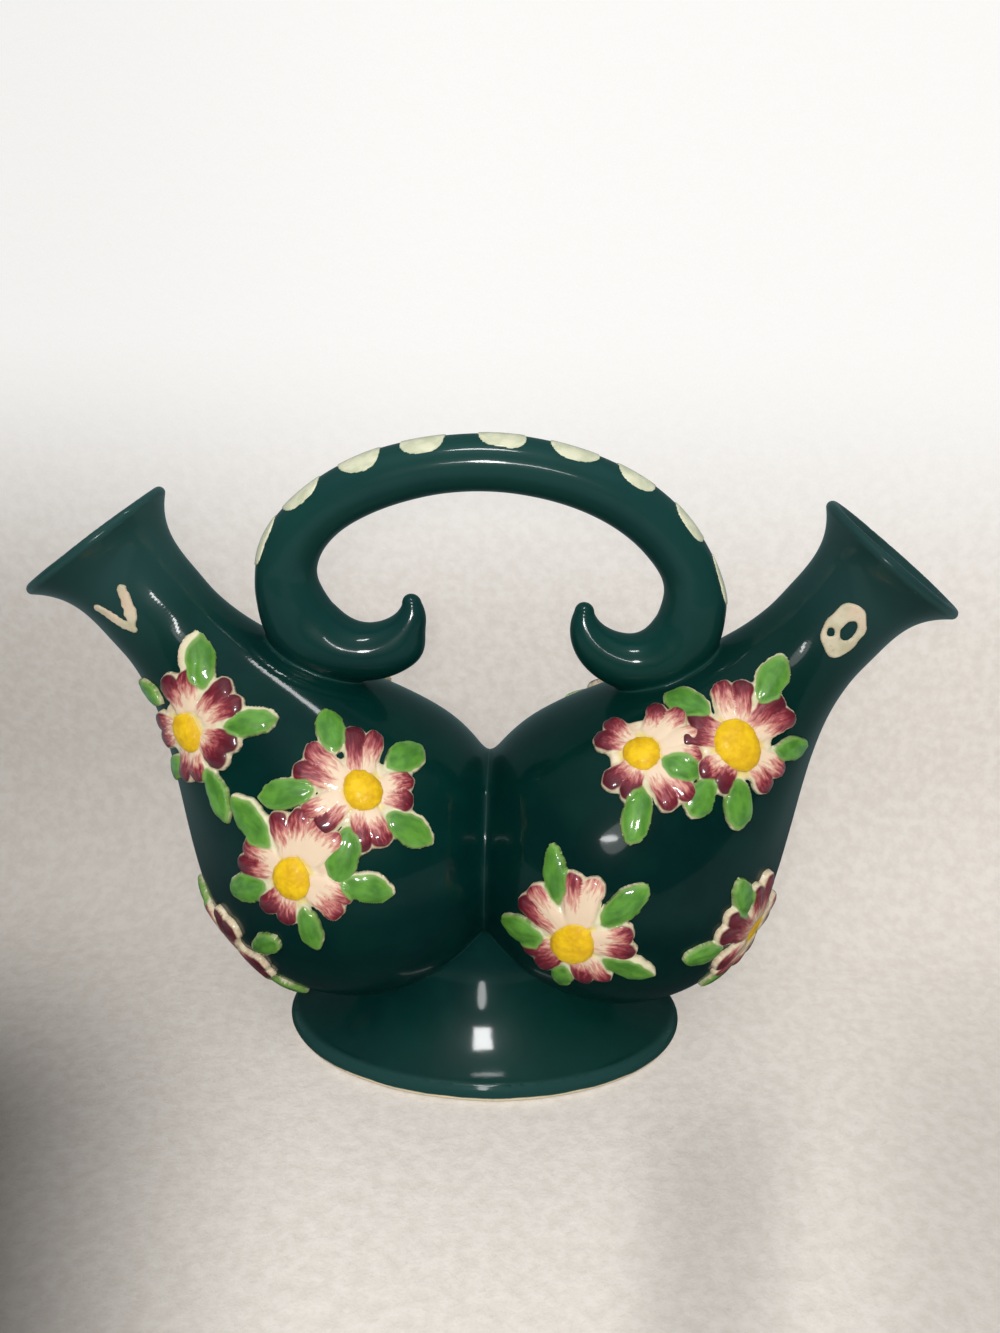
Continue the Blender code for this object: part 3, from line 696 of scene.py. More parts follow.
def relief(name, lay, shape, reach, step, material):
    """A closed raised piece on a skin. shape(u, v) gives the distance to its outline, its height and
    its paint."""
    lines = np.arange(-reach, reach + step, step)
    u, v = (a.reshape(-1) for a in np.meshgrid(lines, lines, indexing="ij"))
    count = len(lines)
    edge = shape(u, v)[0]
    tilt_u = (shape(u + 0.05, v)[0] - shape(u - 0.05, v)[0]) / 0.1
    tilt_v = (shape(u, v + 0.05)[0] - shape(u, v - 0.05)[0]) / 0.1
    size = np.maximum(tilt_u**2 + tilt_v**2, 0.1)
    rim = np.abs(edge) < 0.5 * step * np.sqrt(size)
    u = np.where(rim, u - edge * tilt_u / size, u)
    v = np.where(rim, v - edge * tilt_v / size, v)
    kept = (rim | (edge < 0)).reshape(count, count)
    at = np.arange(count * count).reshape(count, count)
    corners = np.stack([at[:-1, :-1], at[1:, :-1], at[1:, 1:], at[:-1, 1:]], -1).reshape(-1, 4)
    has = np.stack([kept[:-1, :-1], kept[1:, :-1], kept[1:, 1:], kept[:-1, 1:]], -1).reshape(-1, 4)
    faces = corners[has.sum(1) == 4].tolist()
    for corner, present in zip(corners[has.sum(1) == 3], has[has.sum(1) == 3]):
        faces.append(corner[present].tolist())

    used = sorted({i for face in faces for i in face})
    renumber = {old: new for new, old in enumerate(used)}
    faces = [[renumber[i] for i in face] for face in faces]
    u, v = u[used], v[used]
    edge, height, paint = shape(u, v)
    sides = dict.fromkeys(side for face in faces for side in zip(face, face[1:] + face[:1]))
    border = [(a, b) for a, b in sides if (b, a) not in sides]
    lip = np.zeros(len(used), bool)
    lip[[a for a, _ in border]] = True
    height = np.where(lip, -RIM_DIP, height)
    skin, normal = lay(u, v)
    top = skin + normal * height[:, None]

    spaced = np.arange(-reach, reach, 2.4)
    low_u, low_v = (a.reshape(-1) for a in np.meshgrid(spaced, spaced))
    deep = shape(low_u, low_v)[0] < -1.0
    low_u, low_v = low_u[deep], low_v[deep]
    order = sorted({i for pair in border for i in pair})
    place = {old: new for new, old in enumerate(order)}
    flat = [(u[i], v[i]) for i in order] + list(zip(low_u, low_v))
    bars = [(place[a], place[b]) for a, b in border]
    made = delaunay_2d_cdt([Vector(xy) for xy in flat], bars, [], 0, 1e-7)
    spots = np.array([tuple(xy) for xy in made[0]])
    source = [group[0] if group else -1 for group in made[3]]
    below = [i for i, origin in enumerate(source) if origin < 0 or origin >= len(order)]
    low_skin, low_normal = lay(spots[below, 0], spots[below, 1]) if below else (np.empty((0, 3)),) * 2
    low = low_skin - low_normal * UNDERSIDE
    number = {}
    for i, origin in enumerate(source):
        number[i] = order[origin] if 0 <= origin < len(order) else len(used) + below.index(i)
    middles = np.array([spots[list(face)].mean(0) for face in made[2]])
    inner = shape(middles[:, 0], middles[:, 1])[0] < 0.02
    floor = [[number[i] for i in reversed(face)] for face, keep in zip(made[2], inner) if keep]
    piece = new_object(name, np.concatenate([top, low]), faces + floor, material)
    for key, values in paint.items():
        attribute(piece, key, np.concatenate([values, np.zeros((len(low),) + values.shape[1:])]))
    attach(piece, "root")
    return piece


def heading(degrees, length):
    angle = math.radians(degrees)
    return np.array([math.sin(angle), math.cos(angle)]) * length


def turned(u, v, middle_u, middle_v, degrees):
    """How far places lie along a heading through a middle, and across it."""
    run = heading(degrees, 1)
    u, v = u - middle_u, v - middle_v
    return u * run[0] + v * run[1], v * run[0] - u * run[1]


def oval(u, v, middle_u, middle_v, wide, long, degrees):
    """Distance to an oval's outline, near it."""
    along, across = turned(u, v, middle_u, middle_v, degrees)
    return (np.hypot(across / wide, along / long) - 1) * math.sqrt(wide * long)


def bulge(share):
    """A round rise from 0 to 1."""
    return np.sqrt(1 - (1 - np.clip(share, 0, 1)) ** 2)


def bar(u, v, start, end, start_radius, end_radius):
    """Distance to a tapered bar with round ends, the way along it and across it, and its radius."""
    run = end - start
    length = math.hypot(*run)
    along = ((u - start[0]) * run[0] + (v - start[1]) * run[1]) / length
    across = ((v - start[1]) * run[0] - (u - start[0]) * run[1]) / length
    share = np.clip(along / length, 0, 1)
    radius = start_radius + (end_radius - start_radius) * share
    return np.hypot(along - share * length, across) - radius, along / length, across, radius


def leaf_form(u, v, leaf, grow_long=0.0, grow_wide=0.0, aside=0.0):
    """Distance to a leaf, the way along it and across it, and its half width."""
    along, across = turned(u, v, *leaf[:3])
    across = across + aside
    long = leaf[3] + grow_long
    wide = leaf[4] + grow_wide
    blunt = wide * (1 + 0.16 * along / long)
    round_radius = (long**2 + wide**2) / (2 * wide)
    lens = np.hypot(np.abs(across) + round_radius - wide, along) - round_radius
    oval = (np.hypot(across / np.maximum(blunt, 0.5), along / long) - 1) * wide
    return 0.5 * lens + 0.5 * oval, along / long, across, wide


def flower_shape(boss, leaves, petals, seed):
    """The relief of one sprig: a cream ground, petals of two lobes each, and leaves round them."""
    chance = np.random.default_rng(seed)
    lobes = []
    for degrees, middle, *tones in petals:
        for side, tone in zip((-1, 1), tones):
            thick = chance.uniform(2.0, 2.4)
            across = heading(degrees + 90, 1) * side
            start = heading(degrees, 4.6) + across * 0.9
            tip = middle + 3.5 - thick - chance.uniform(0, 0.8)
            end = heading(degrees, tip) + across * chance.uniform(1.65, 2.0)
            lobes.append((start, end, 1.9, thick, tone, chance.uniform(0, 90)))
    blades = [
        (leaf, leaf[5] if len(leaf) > 5 else chance.uniform(-0.25, 0.25), chance.uniform(0, 90))
        for leaf in leaves
    ]
    waver = chance.uniform(0, 6.28, 4)

    def shape(u, v):
        u, v = (
            u + 0.12 * np.sin(1.3 * v + waver[0]) + 0.06 * np.sin(3.1 * v + waver[1]),
            v + 0.12 * np.sin(1.2 * u + waver[2]) + 0.06 * np.sin(2.9 * u + waver[3]),
        )
        ground = np.hypot(u, v) - 7.0
        petal = np.full(len(u), 5.0)
        leaf = np.full(len(u), 5.0)
        tone = np.zeros(len(u))
        way = np.zeros(len(u))
        brush = np.zeros((len(u), 3))
        rise = np.full(len(u), -1.0)
        for start, end, thin, thick, shade, mark in lobes:
            away, share, across, radius = bar(u, v, start, end, thin, thick)
            ground = smooth_min(ground, away - 0.25, 1.2)
            dome = 0.75 + 0.95 * bulge(-away / radius) * (0.5 + 0.5 * np.clip(share, 0, 1))
            rise = np.where(away < 0, np.maximum(rise, dome), rise)
            nearer = away < petal
            petal = np.where(nearer, away, petal)
            way = np.where(nearer, share, way)
            tone = np.where(nearer, shade, tone)
            strokes = np.stack([across, share * 1.3, np.full(len(u), mark)], 1)
            brush = np.where(nearer[:, None], strokes, brush)
        for blade, margin, mark in blades:
            extra = abs(margin) / 2
            blank, share, across, wide = leaf_form(u, v, blade, 0.45 + extra, 0.25 + extra, -margin / 2)
            away = leaf_form(u, v, blade, 0.15, 0.1)[0]
            ground = smooth_min(ground, blank, 1.0)
            full = np.clip(-blank / wide, 0, 1)
            crease = 0.12 * np.exp(-((across / 0.35) ** 2)) * (full > 0.3)
            dome = 0.35 + 1.15 * bulge(full) - crease
            rise = np.where(blank < 0, np.maximum(rise, dome), rise)
            nearer = (away < leaf) & (away < petal + 0.4)
            leaf = np.where(away < leaf, away, leaf)
            strokes = np.stack([across, share * 3.0, np.full(len(u), mark)], 1)
            brush = np.where(nearer[:, None], strokes, brush)
        low = -RIM_DIP + 1.1 * bulge(-ground / 0.9)
        angle = np.arctan2(u, v)
        reach = np.hypot(u, v)
        rays = np.sin(23 * angle + 2 * np.sin(3 * angle + waver[0])) * smooth_step((reach - 3) / 3)
        low = low + 0.05 * np.sin(2.1 * u + waver[1]) * np.sin(2.3 * v + waver[2])
        low = low + 0.05 * rays * smooth_step((9.5 - reach) / 3)
        paint = {
            "petal": np.minimum(petal, 3.0), "leaf": np.minimum(leaf, 3.0),
            "tone": tone, "way": way, "brush": brush, "halo": np.minimum(oval(u, v, *boss[:5]), 4.0),
        }
        return ground, np.maximum(low, np.minimum(rise, low + 1.9)), paint

    return shape


def boss_shape(boss, seed):
    chance = np.random.default_rng(seed)
    dots = chance.uniform(-5.2, 5.2, (190, 2))
    waver = chance.uniform(0, 6.28, 3)

    def shape(u, v):
        angle = np.arctan2(v, u)
        away = oval(u, v, *boss[:5]) + 0.12 * np.sin(3 * angle + waver[0])
        away = away + 0.05 * np.sin(13 * angle + waver[1])
        full = np.clip(-away / 4.2, 0, 1)
        height = 0.45 + boss[5] * np.sqrt(1 - (1 - full) ** 2.4)
        pips = np.zeros(len(u))
        for x, y in dots:
            pips = np.maximum(pips, np.exp(-((u - x) ** 2 + (v - y) ** 2) / 0.09))
        return away, height + 0.12 * pips, {"pip": pips, "full": full}

    return shape


def sprig_material():
    n = Nodes(bpy.data.materials.new("painted_petals"))
    where = n.place()
    petal, leaf, way, tone, halo = (n.named(name) for name in ("petal", "leaf", "way", "tone", "halo"))
    brush = n.named("brush", "Vector")
    strokes = n.noise(1.9, 2, brush, 0.55)
    grain = n.noise(700, 2, where)
    cloud = n.noise(260, 2, where)
    cream = n.mix(n.ramp(grain, 0.35, 0.7), linear(218, 200, 166), linear(234, 222, 194))
    cream = n.mix(n.ramp(cloud, 0.45, 0.7, 0, 0.5), cream, linear(228, 188, 162))
    cream = n.mix(n.ramp(leaf, 0.6, 1.4, 0.8, 0), cream, linear(220, 216, 180))
    cream = n.mix(n.ramp(halo, 0.1, 1.3, 0.75, 0), cream, linear(232, 208, 112))
    drive = n.stir(n.stir(way, strokes, 1.5), tone, 1.3, 0.55)
    paint = n.mix(n.ramp(drive, 0.15, 0.65), linear(232, 208, 180), linear(204, 140, 126))
    paint = n.mix(n.ramp(drive, 0.55, 0.98), paint, linear(156, 68, 74))
    paint = n.mix(n.ramp(drive, 0.88, 1.25), paint, linear(112, 28, 42))
    paint = n.mix(n.ramp(drive, 1.25, 1.7), paint, linear(86, 18, 34))
    colour = n.mix(n.ramp(n.stir(petal, cloud, 0.5), -0.45, -0.05, 1, 0), cream, paint)
    veins = n.noise(0.55, 3, brush, 0.5)
    green = n.mix(n.ramp(veins, 0.3, 0.65), linear(66, 120, 36), linear(92, 150, 50))
    green = n.mix(n.ramp(veins, 0.6, 0.8, 0, 0.4), green, linear(122, 168, 70))
    edge = n.stir(leaf, cloud, 0.9)
    green = n.mix(n.ramp(edge, -0.7, -0.1, 0, 0.4), green, linear(150, 180, 100))
    colour = n.mix(n.ramp(edge, -0.1, 0.3, 1, 0), colour, green)
    skin = n.bump(n.math("ADD", strokes, grain), 0.00005, 0.6)
    return n.finish(
        skin, Base_Color=colour, Roughness=0.4, IOR=1.4, Coat_Weight=1.0, Coat_Roughness=0.06, Coat_IOR=1.45
    )


def boss_material():
    n = Nodes(bpy.data.materials.new("yellow_centres"))
    where = n.place()
    grain = n.noise(900, 3, where)
    patch = n.noise(320, 2, where)
    pip, full = n.named("pip"), n.named("full")
    colour = n.mix(n.ramp(patch, 0.4, 0.65), linear(216, 168, 6), linear(234, 192, 8))
    colour = n.mix(n.times(pip, 0.35), colour, linear(246, 208, 30))
    colour = n.mix(n.ramp(grain, 0.55, 0.75, 0, 0.35), colour, linear(192, 136, 6))
    colour = n.mix(n.ramp(full, 0.0, 0.16, 0.7, 0), colour, linear(228, 200, 92))
    skin = n.bump(grain, 0.00012, 0.8)
    return n.finish(
        skin, Base_Color=colour, Roughness=0.55, IOR=1.35, Coat_Weight=0.25, Coat_Roughness=0.2, Coat_IOR=1.4
    )


def enamel_material():
    n = Nodes(bpy.data.materials.new("cream_enamel"))
    where = n.place()
    grain = n.noise(420, 3, where, 0.5)
    speck = n.noise(1500, 2, where)
    patch = n.noise(150, 2, where)
    dot = n.mix(n.ramp(grain, 0.35, 0.65), linear(198, 202, 172), linear(220, 220, 192))
    plain = n.mix(n.ramp(patch, 0.4, 0.62), linear(184, 176, 146), linear(206, 184, 158))
    plain = n.mix(n.ramp(grain, 0.35, 0.7, 0, 0.6), plain, linear(214, 204, 180))
    plain = n.mix(n.ramp(speck, 0.62, 0.75, 0, 0.4), plain, linear(160, 128, 92))
    colour = n.mix(n.named("letter"), dot, plain)
    skin = n.bump(grain, 0.00008, 0.5)
    return n.finish(
        skin, Base_Color=colour, Roughness=0.38, IOR=1.4, Coat_Weight=0.8, Coat_Roughness=0.06, Coat_IOR=1.4
    )


# Sprigs: side, station, degrees round, boss as (u, v, half width, half length, degrees, height), leaves as
# (u, v, degrees, half length, half width) in mm with a wider cream margin on the left (+) or right (-) of
# some, and petals as (degrees, middle, depth of colour of each lobe). Degrees are clockwise from the
# mouthward way, seen from outside. The back of each flask repeats the front of the other one, turned half
# round, its topmost sprigs a little lower so that they stay out of sight from the front.
SPRIGS = {
    "left_shoulder": (
        LEFT, 43.1, -78, (-1.2, -0.5, 3.1, 4.4, 0, 1.9),
        (
            (7.8, 9.8, 23, 5.2, 2.5, 1.7), (11.0, -4.7, 106, 4.8, 2.3, 0.9), (-0.7, -13.9, 184, 5.4, 2.3),
            (-6.0, 10.4, 332, 3.6, 2.0), (-9.6, -4.6, 246, 3.2, 1.8),
        ),
        (
            (15, 8.1, 0.85, 0.5), (80, 8.4, 0.95, 0.75), (148, 7.6, 0.95, 1.0), (211, 7.7, 0.6, 0.8),
            (290, 6.8, 0.8, 0.9),
        ),
    ),
    "left_upper": (
        LEFT, 16.6, -128, (0.4, -0.4, 3.6, 4.3, 15, 2.1),
        (
            (4.7, 12.2, 35, 4.6, 2.7), (11.3, -1.3, 98, 4.3, 3.1, -0.5), (1.4, -11.6, 165, 4.8, 2.7, 0.8),
            (-10.5, -6.4, 237, 5.4, 2.9), (-9.6, 9.5, 309, 5.2, 2.8),
        ),
        (
            (50, 9.6, 1.0, 0.65), (346, 9.6, 0.75, 0.55), (284, 7.7, 0.9, 0.35), (212, 8.4, 0.6, 0.85),
            (135, 7.5, 0.45, 0.7),
        ),
    ),
    "left_lower": (
        LEFT, 12.8, -92, (-0.9, -0.6, 3.7, 4.3, 20, 2.1),
        (
            (-2.4, 12.3, 352, 5.8, 2.6, -0.8), (-10.8, 2.5, 285, 4.4, 2.9), (-4.2, -10.4, 206, 4.5, 2.2),
            (9.4, -9.9, 141, 4.8, 2.6, 0.6),
        ),
        (
            (27, 8.7, 0.65, 0.5), (320, 8.3, 0.8, 0.5), (240, 6.8, 0.7, 0.95), (156, 8.6, 0.4, 0.5),
            (73, 7.8, 0.25, 0.15),
        ),
    ),
    "left_outer": (
        LEFT, 2.0, -34.6, (0, 0, 3.0, 3.2, 0, 0.3),
        (
            (16.8, 1.6, 84, 4.2, 2.4), (4.5, -12.5, 162, 4.6, 2.3), (-9.0, -8.5, 226, 4.4, 2.4),
            (-11.0, 5.0, 294, 4.2, 2.3), (-4.0, 11.0, 340, 4.0, 2.0),
        ),
        (
            (44, 8.8, 0.9, 0.95), (118, 8.6, 0.95, 0.9), (190, 7.8, 0.6, 0.8), (259, 8.2, 0.5, 0.8),
            (332, 8.0, 0.9, 0.6),
        ),
    ),
    "right_shoulder": (
        RIGHT, 38.1, -105, (0.1, -0.4, 4.4, 5.2, 115, 2.1),
        (
            (-2.5, 13.6, 350, 4.8, 2.6, 0.5), (9.3, 6.6, 45, 4.0, 2.2), (7.5, -8.6, 138, 4.6, 2.8),
            (1.1, -12.6, 170, 3.9, 2.6), (-12.1, 0.3, 262, 4.5, 2.8, -0.4),
        ),
        (
            (317, 9.2, 0.5, 0.8), (11, 9.5, 0.95, 0.7), (91, 7.6, 0.45, 0.65), (175, 6.8, 0.95, 0.6),
            (249, 7.6, 1.0, 1.0),
        ),
    ),
    "right_upper": (
        RIGHT, 26.0, -134, (0, -0.7, 3.5, 3.7, 30, 1.9),
        ((6.4, 3.4, 55, 3.6, 2.4), (8.6, -8.8, 140, 5.2, 2.7)),
        (
            (336, 7.6, 0.7, 0.4), (250, 7.0, 1.0, 0.8), (161, 7.0, 0.95, 1.0), (94, 9.0, 0.55, 0.7),
            (30, 7.6, 0.1, 0.2),
        ),
    ),
    "right_lower": (
        RIGHT, -7.2, -103, (0.2, -0.9, 4.1, 5.1, 175, 2.2),
        (
            (-11.2, 6.9, 308, 5.6, 2.3), (-7.8, -8.4, 228, 5.2, 3.0), (4.1, -10.4, 158, 3.7, 2.1),
            (11.3, 1.4, 82, 5.1, 2.5, 0.9), (2.0, 12.0, 9, 5.6, 2.6),
        ),
        (
            (268, 9.5, 0.85, 0.3), (328, 10.1, 0.5, 0.05), (47, 8.0, 0.45, 0.75), (122, 7.6, 0.6, 0.8),
            (192, 9.3, 1.0, 0.9),
        ),
    ),
    "right_outer": (
        RIGHT, 10.2, -38.4, (0, 0, 3.1, 3.3, 0, 0.5),
        (
            (-10.9, 7.5, 322, 4.4, 2.4), (-14.2, -5.5, 243, 4.2, 2.5), (10.5, -4.5, 112, 4.4, 2.4),
            (0.0, -12.0, 180, 4.4, 2.4),
        ),
        (
            (277, 10.6, 0.95, 0.9), (330, 10.2, 0.8, 0.85), (70, 8.0, 0.6, 0.7), (145, 8.0, 0.8, 0.6),
            (213, 8.4, 0.5, 0.8),
        ),
    ),
}


# A sprig turned past HIGH_TURN degrees would show over its flask's shoulder from the other side, so its copy
# on the back comes down by a share of what it is past that, with its leaves drawn in
HIGH_TURN = 115
BACK_DROP = 0.5
BACK_LEAVES = 0.62


def sprigs(petal_finish, boss_finish):
    other = {"left": "right", "right": "left"}
    for index, (name, (side, station, around, boss, leaves, petals)) in enumerate(SPRIGS.items()):
        hand, spot = name.split("_")
        dome = boss_shape(boss, 300 + index)
        high = max(0, -around - HIGH_TURN)
        for face, flank, turn, where in (
            ("front", side, around, hand),
            ("back", -side, -around - BACK_DROP * high, other[hand]),
        ):
            node = f"{face}_{where}_{spot}"
            closer = BACK_LEAVES if high and face == "back" else 1.0
            grown = [(u * closer, v * closer, *rest) for u, v, *rest in leaves]
            form = flower_shape(boss, grown, petals, 100 + index)
            lay = flask_layer(flank, station, turn)
            piece = relief("relief_" + node, lay, form, 20.7, 0.3 * COARSE, petal_finish)
            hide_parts("petals_" + node)
            piece = relief("boss_" + node, lay, dome, 6.0, 0.3 * COARSE, boss_finish)
            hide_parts("centre_" + node)


def enamel(away, top, letter):
    """A stroke of enamel: its outline, its height and whether it is a letter, 1, or a dot, 0."""
    height = -RIM_DIP + (top + RIM_DIP) * bulge(-away / 0.45)
    return away, height, {"letter": np.full(len(away), float(letter))}


def letter_v(u, v):
    apex, left_bend, right_bend = (np.array(place) for place in ((-0.85, -3.75), (-1.6, -1.9), (1.0, -0.9)))
    one = bar(u, v, np.array([-3.5, 3.4]), left_bend, 0.9, 1.0)[0]
    one = smooth_min(one, bar(u, v, left_bend, apex, 1.0, 0.6)[0], 0.5)
    two = bar(u, v, np.array([3.0, 3.5]), right_bend, 1.0, 1.25)[0]
    two = smooth_min(two, bar(u, v, right_bend, apex, 1.25, 0.5)[0], 0.6)
    away = smooth_min(one, two, 0.9) + 0.08 * np.sin(2.4 * u + 1.9 * v) + 0.05 * np.sin(5.1 * v - 1.7 * u)
    return enamel(away, 0.4, 1)


def letter_o(u, v):
    """An uneven ring, leaning to the right, with a nick beside its hole."""
    angle = np.arctan2(v, u)
    rim = oval(u, v, 0.0, -0.2, 3.75, 5.5, -14) + 0.16 * np.sin(4 * angle + 2.2)
    rim = rim + 0.12 * np.sin(7 * angle + 0.6)
    hole = oval(u, v, 0.7, 0.3, 1.2, 1.85, -6) + 0.08 * np.sin(3 * angle)
    nick = np.hypot(u + 1.53, v + 1.91) - 0.62 + 0.1 * np.sin(2.5 * u - 3 * v)
    return enamel(np.maximum(rim, -np.minimum(hole, nick)), 0.4, 1)


# How far along the handle from its crown each dot lies, and half its width, mm
DOTS = (
    (-44.6, 3.5), (-34.8, 3.9), (-23.2, 4.5), (-12.0, 4.6), (1.4, 4.6), (13.9, 4.8), (25.6, 4.6), (37.6, 4.5),
    (48.4, 3.7),
)


def dot_shape(wide, seed):
    chance = np.random.default_rng(seed)
    waver = chance.uniform(0, 6.28, 3)
    long = chance.uniform(4.0, 4.4)

    def shape(u, v):
        angle = np.arctan2(v, u)
        lobe = 0.22 * np.sin(2 * angle + waver[0]) + 0.14 * np.sin(3 * angle + waver[1])
        lobe = lobe + 0.03 * np.sin(5 * angle + waver[2])
        power = 2.6
        away = ((np.abs(u / long) ** power + np.abs(v / wide) ** power) ** (1 / power) - 1) * 4.2 + lobe
        return enamel(away, 0.2, 0)

    return shape


def enamels(finish):
    marks = [
        ("mark_v", "vinegar_mark", flask_layer(LEFT, 67.5, -88), letter_v, 6.5, 0.22),
        ("mark_o", "oil_mark", flask_layer(RIGHT, 66.0, -100), letter_o, 7.0, 0.22),
    ]
    for i, (distance, wide) in enumerate(DOTS):
        dot = dot_shape(wide, 500 + i)
        marks.append((f"enamel_dot_{i + 1}", f"handle_dot_{i + 1}", handle_layer(distance), dot, 6.5, 0.3))
    for name, node, lay, shape, reach, step in marks:
        piece = relief(name, lay, shape, reach, step * COARSE, finish)
        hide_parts(node)


def lamp(name, place, aim, size, power, mirrored=True, only=(), never=(), square=False):
    """A round or square lamp at a place in mm. One that isn't mirrored lights the cruet without showing in
    its glaze, one with `only` lights just those pieces and one with `never` lights everything else."""
    data = bpy.data.lights.new(name, "AREA")
    data.shape = "RECTANGLE" if square else "ELLIPSE"
    data.size = size[0] * MM
    data.size_y = size[1] * MM
    data.energy = power
    lit = bpy.data.objects.new(name, data)
    bpy.context.scene.collection.objects.link(lit)
    lit.location = Vector(place) * MM
    lit.rotation_euler = (Vector(aim) - Vector(place)).to_track_quat("-Z", "Y").to_euler()
    lit.visible_glossy = mirrored
    lit.visible_camera = False
    if only or never:
        group = bpy.data.collections.new(name + "_pieces")
        for piece in (*only, *never):
            group.objects.link(piece)
        if never:
            for entry in group.collection_objects:
                entry.light_linking.link_state = "EXCLUDE"
        lit.light_linking.receiver_collection = group


def camera():
    data = bpy.data.cameras.new("photo_view")
    data.sensor_width = 36
    data.lens = 36 * 1000 / 1333
    data.clip_start = 0.01
    data.clip_end = 20
    pitch, roll, yaw = (math.radians(a) for a in (22.52, 1.15, -0.84))
    forward = Vector((math.sin(yaw) * math.cos(pitch), math.cos(yaw) * math.cos(pitch), -math.sin(pitch)))
    level = Vector((math.cos(yaw), -math.sin(yaw), 0))
    upright = level.cross(forward)
    right = level * math.cos(roll) + upright * math.sin(roll)
    up = upright * math.cos(roll) - level * math.sin(roll)
    eye = bpy.data.objects.new("photo_view", data)
    turn = Matrix((right, up, -forward)).transposed().to_4x4()
    eye.matrix_world = Matrix.Translation(Vector((4.7, -185.72, 165.88)) * MM) @ turn
    bpy.context.scene.collection.objects.link(eye)
    bpy.context.scene.camera = eye


def stage():
    """A pale surface that the cruet stands on, swept up close behind it. The back of the sweep can be looked
    through, and a floor runs on behind it."""
    n = Nodes(bpy.data.materials.new("pale_paper"))
    where = n.place()
    x, y, z = n.split(where)
    grain = n.noise(330, 3, where, 0.6)
    colour = n.mix(n.ramp(grain, 0.3, 0.7), linear(226, 219, 211), linear(236, 230, 223))
    # The sweep is painted lighter higher up: painted light.
    colour = n.mix(n.ramp(z, 0.07, 0.15), colour, linear(252, 251, 249))

    # Painted shade at the left and at the right edge, and a soft painted shadow band at the right, by how far
    # aside a place lies for its distance
    far = n.math("ADD", n.math("SUBTRACT", 0.2351, n.times(z, 0.383)), n.times(y, 0.9238))
    column = n.math("DIVIDE", x, n.math("MAXIMUM", far, 0.05))
    near = n.times(n.ramp(y, -0.04, 0.05, 1, 0), n.ramp(y, -0.17, -0.09), n.ramp(x, -0.2, -0.13))
    # The dark colour that these painted shades and the painted shadow band mix towards.
    painted_shade = linear(30, 29, 29)
    apart = n.math("SUBTRACT", 1, near)
    for shade in (
        (near, n.ramp(column, -0.56, -0.14, 0.9, 0)),
        (n.ramp(z, 0.06, 0.15, 1, 0.2), n.ramp(column, -0.55, -0.02, 0.36, 0), apart),
        (n.ramp(column, 0.12, 0.22), n.ramp(column, 0.25, 0.36, 1, 0), near, n.ramp(y, -0.05, 0.0, 0.25, 0)),
        (near, n.ramp(column, 0.33, 0.5, 0.04, 0.22)),
    ):
        colour = n.mix(n.times(*shade), colour, painted_shade)

    n.finish(n.bump(grain, 0.0008, 0.6), Base_Color=colour, Roughness=0.9, Specular_IOR_Level=0.1)
    path = n.add("LightPath").outputs
    # For camera rays the sweep partly shows its own colour as a glow, little on the floor and most higher up:
    # painted light that lifts the shadows on it.
    seen = n.add("Emission", Color=colour)
    # What the glaze mirrors of the sweep is a glow of its own: dark near the cruet, paler farther off and on
    # the wall, a painted reflection.
    spread = n.math("SQRT", n.math("ADD", n.times(x, x), n.times(y, y)))
    mirrored = n.mix(n.ramp(spread, 0.08, 0.2), (0.03, 0.045, 0.05), (0.27, 0.38, 0.39))
    mirrored = n.mix(n.ramp(z, 0.01, 0.06), mirrored, (0.14, 0.21, 0.22))
    dim = n.add("Emission", Color=mirrored)
    clear = n.add("BsdfTransparent")
    # The share of that painted-light glow, for camera rays only.
    wall = n.times(path["Is Camera Ray"], n.ramp(z, 0.01, 0.15, 0.35, 0.88))
    behind = n.add("NewGeometry").outputs["Backfacing"]
    shader = n.shader.outputs[0]
    for share, other in ((wall, seen), (path["Is Glossy Ray"], dim), (behind, clear)):
        shader = n.choose(share, shader, other.outputs[0])
    n.tree.links.new(shader, n.tree.nodes["Material Output"].inputs["Surface"])
    bend = 40
    wall_y = 58
    end = 900
    section = [(-end, 0), (wall_y - bend, 0)]
    for i in range(1, 17):
        angle = math.pi / 2 * i / 16
        section.append((wall_y - bend + bend * math.sin(angle), bend - bend * math.cos(angle)))
    section.append((wall_y, end))
    points = [(x, y, z) for x in (-end, end) for y, z in section]
    count = len(section)
    faces = [(i, i + count, i + count + 1, i + 1) for i in range(count - 1)]
    points += [(x, y, 0) for x, y in ((-end, wall_y - bend), (end, wall_y - bend), (end, end), (-end, end))]
    faces.append(tuple(range(2 * count, 2 * count + 4)))
    floor = new_object("pale_sweep", np.array(points, float), faces, n.owner)


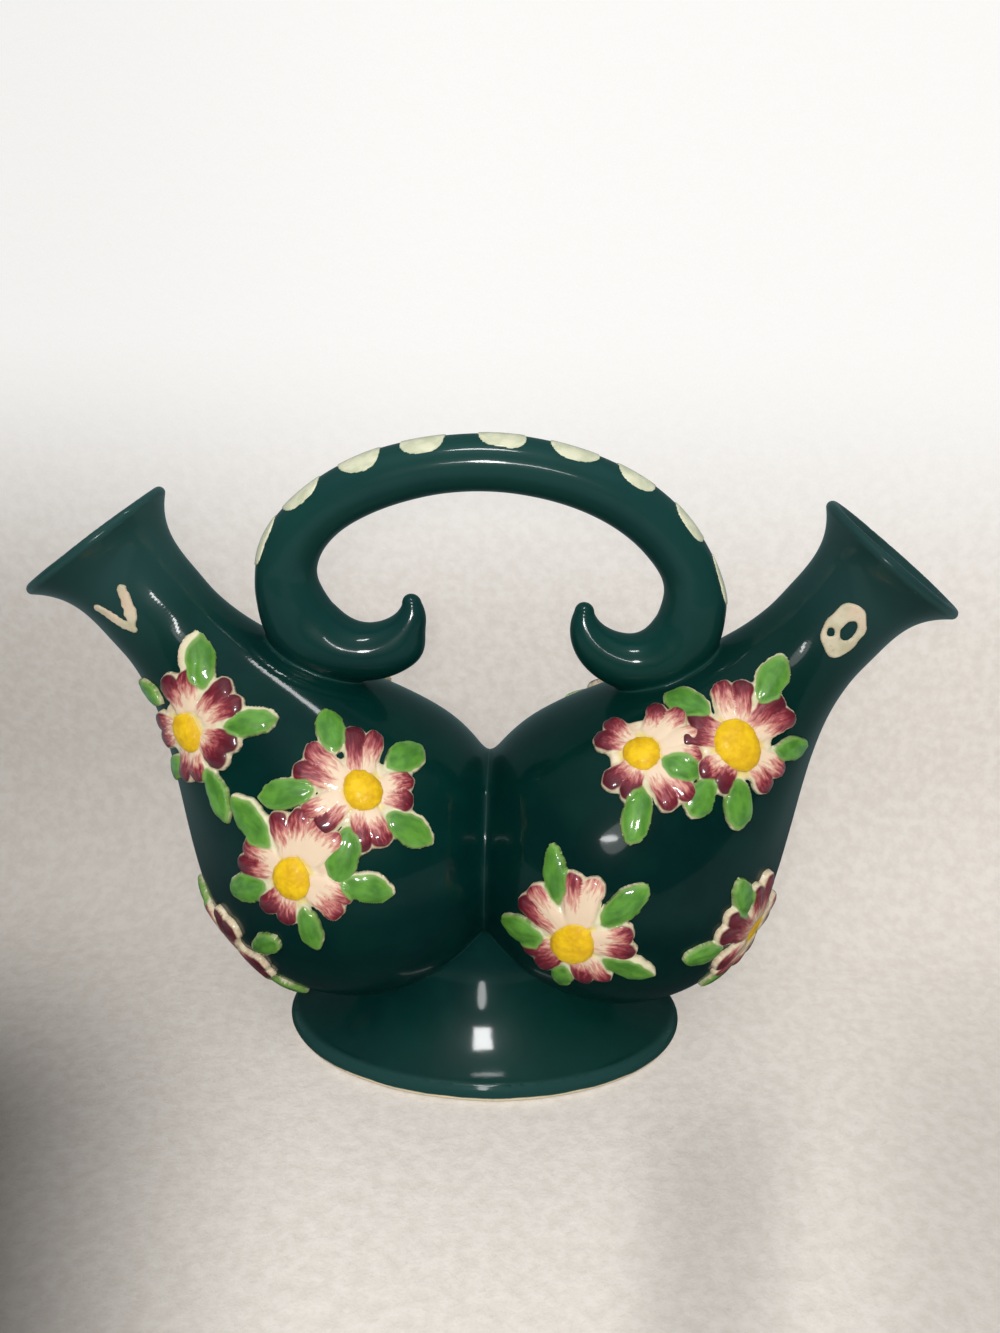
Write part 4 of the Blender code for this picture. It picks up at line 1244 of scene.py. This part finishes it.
def world():
    scene = bpy.context.scene
    scene.world = bpy.data.worlds.new("room")
    n = Nodes(scene.world)
    light = n.tree.nodes["Background"]
    n.put(light, "Color", (1.0, 0.985, 0.96, 1))
    n.put(light, "Strength", 0.5)
    rise = n.split(n.place("Generated"))["Z"]
    dim = n.add("Background", Color=(0.6, 0.94, 0.98, 1), Strength=n.ramp(rise, 0.5, 0.9, 0.05, 0.45))
    seen = n.add("Background", Color=(0.86, 0.85, 0.83, 1), Strength=1.0)
    path = n.add("LightPath").outputs
    shader = n.choose(path["Is Glossy Ray"], light.outputs[0], dim.outputs[0])
    shader = n.choose(path["Is Camera Ray"], shader, seen.outputs[0])
    n.tree.links.new(shader, n.tree.nodes["World Output"].inputs["Surface"])
    scene.view_settings.view_transform = "Standard"


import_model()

GLAZE = glaze_material()
LEFT_FLASK, RIGHT_FLASK, FOOT, GRIP = (
    body_piece(part, GLAZE) for part in ("vinegar_bottle", "oil_bottle", "foot", "handle")
)

sprigs(sprig_material(), boss_material())
enamels(enamel_material())

camera()
stage()
world()
FLASKS = [LEFT_FLASK, RIGHT_FLASK]
lamp("flash", (-6, -215, 186), (0, 0, 60), (34, 28), 0.2, never=[*FLASKS, FOOT])
lamp("flask_glint", (-6, -215, 186), (0, 0, 60), (84, 70), 0.06, only=FLASKS)
lamp("left_neck_glint", (35, -208, 186), (-60, -9, 100), (84, 15), 0.17, only=[LEFT_FLASK])
lamp("right_neck_glint", (-26, -214, 188), (59, -9, 98), (50, 15), 0.065, only=[RIGHT_FLASK])
lamp("shoulder_glint", (140, -6, 660), (-35, -12, 86), (44, 90), 0.27, only=[LEFT_FLASK])
lamp("foot_glint", (-4, -222, 173), (0, 0, 20), (36, 52), 0.33, only=[FOOT], square=True)
lamp("foot_bar", (0, -640, 940), (0, 0, 20), (220, 18), 0.25, only=[FOOT])
lamp("foot_streak", (-6, -300, 56), (0, 0, 24), (26, 120), 0.16, only=[FOOT])
lamp("handle_glint", (6, -240, 192), (0, 0, 120), (104, 13), 0.11, only=[GRIP])
lamp("handle_line", (-40, -400, 960), (0, 0, 120), (330, 70), 3.2, only=[GRIP])
lamp("back_glint", (150, 520, 430), (0, 0, 60), (150, 110), 0.6, only=[*FLASKS, FOOT])
lamp("fill", (0, -600, 900), (0, 0, 60), (900, 700), 4.1, mirrored=False)
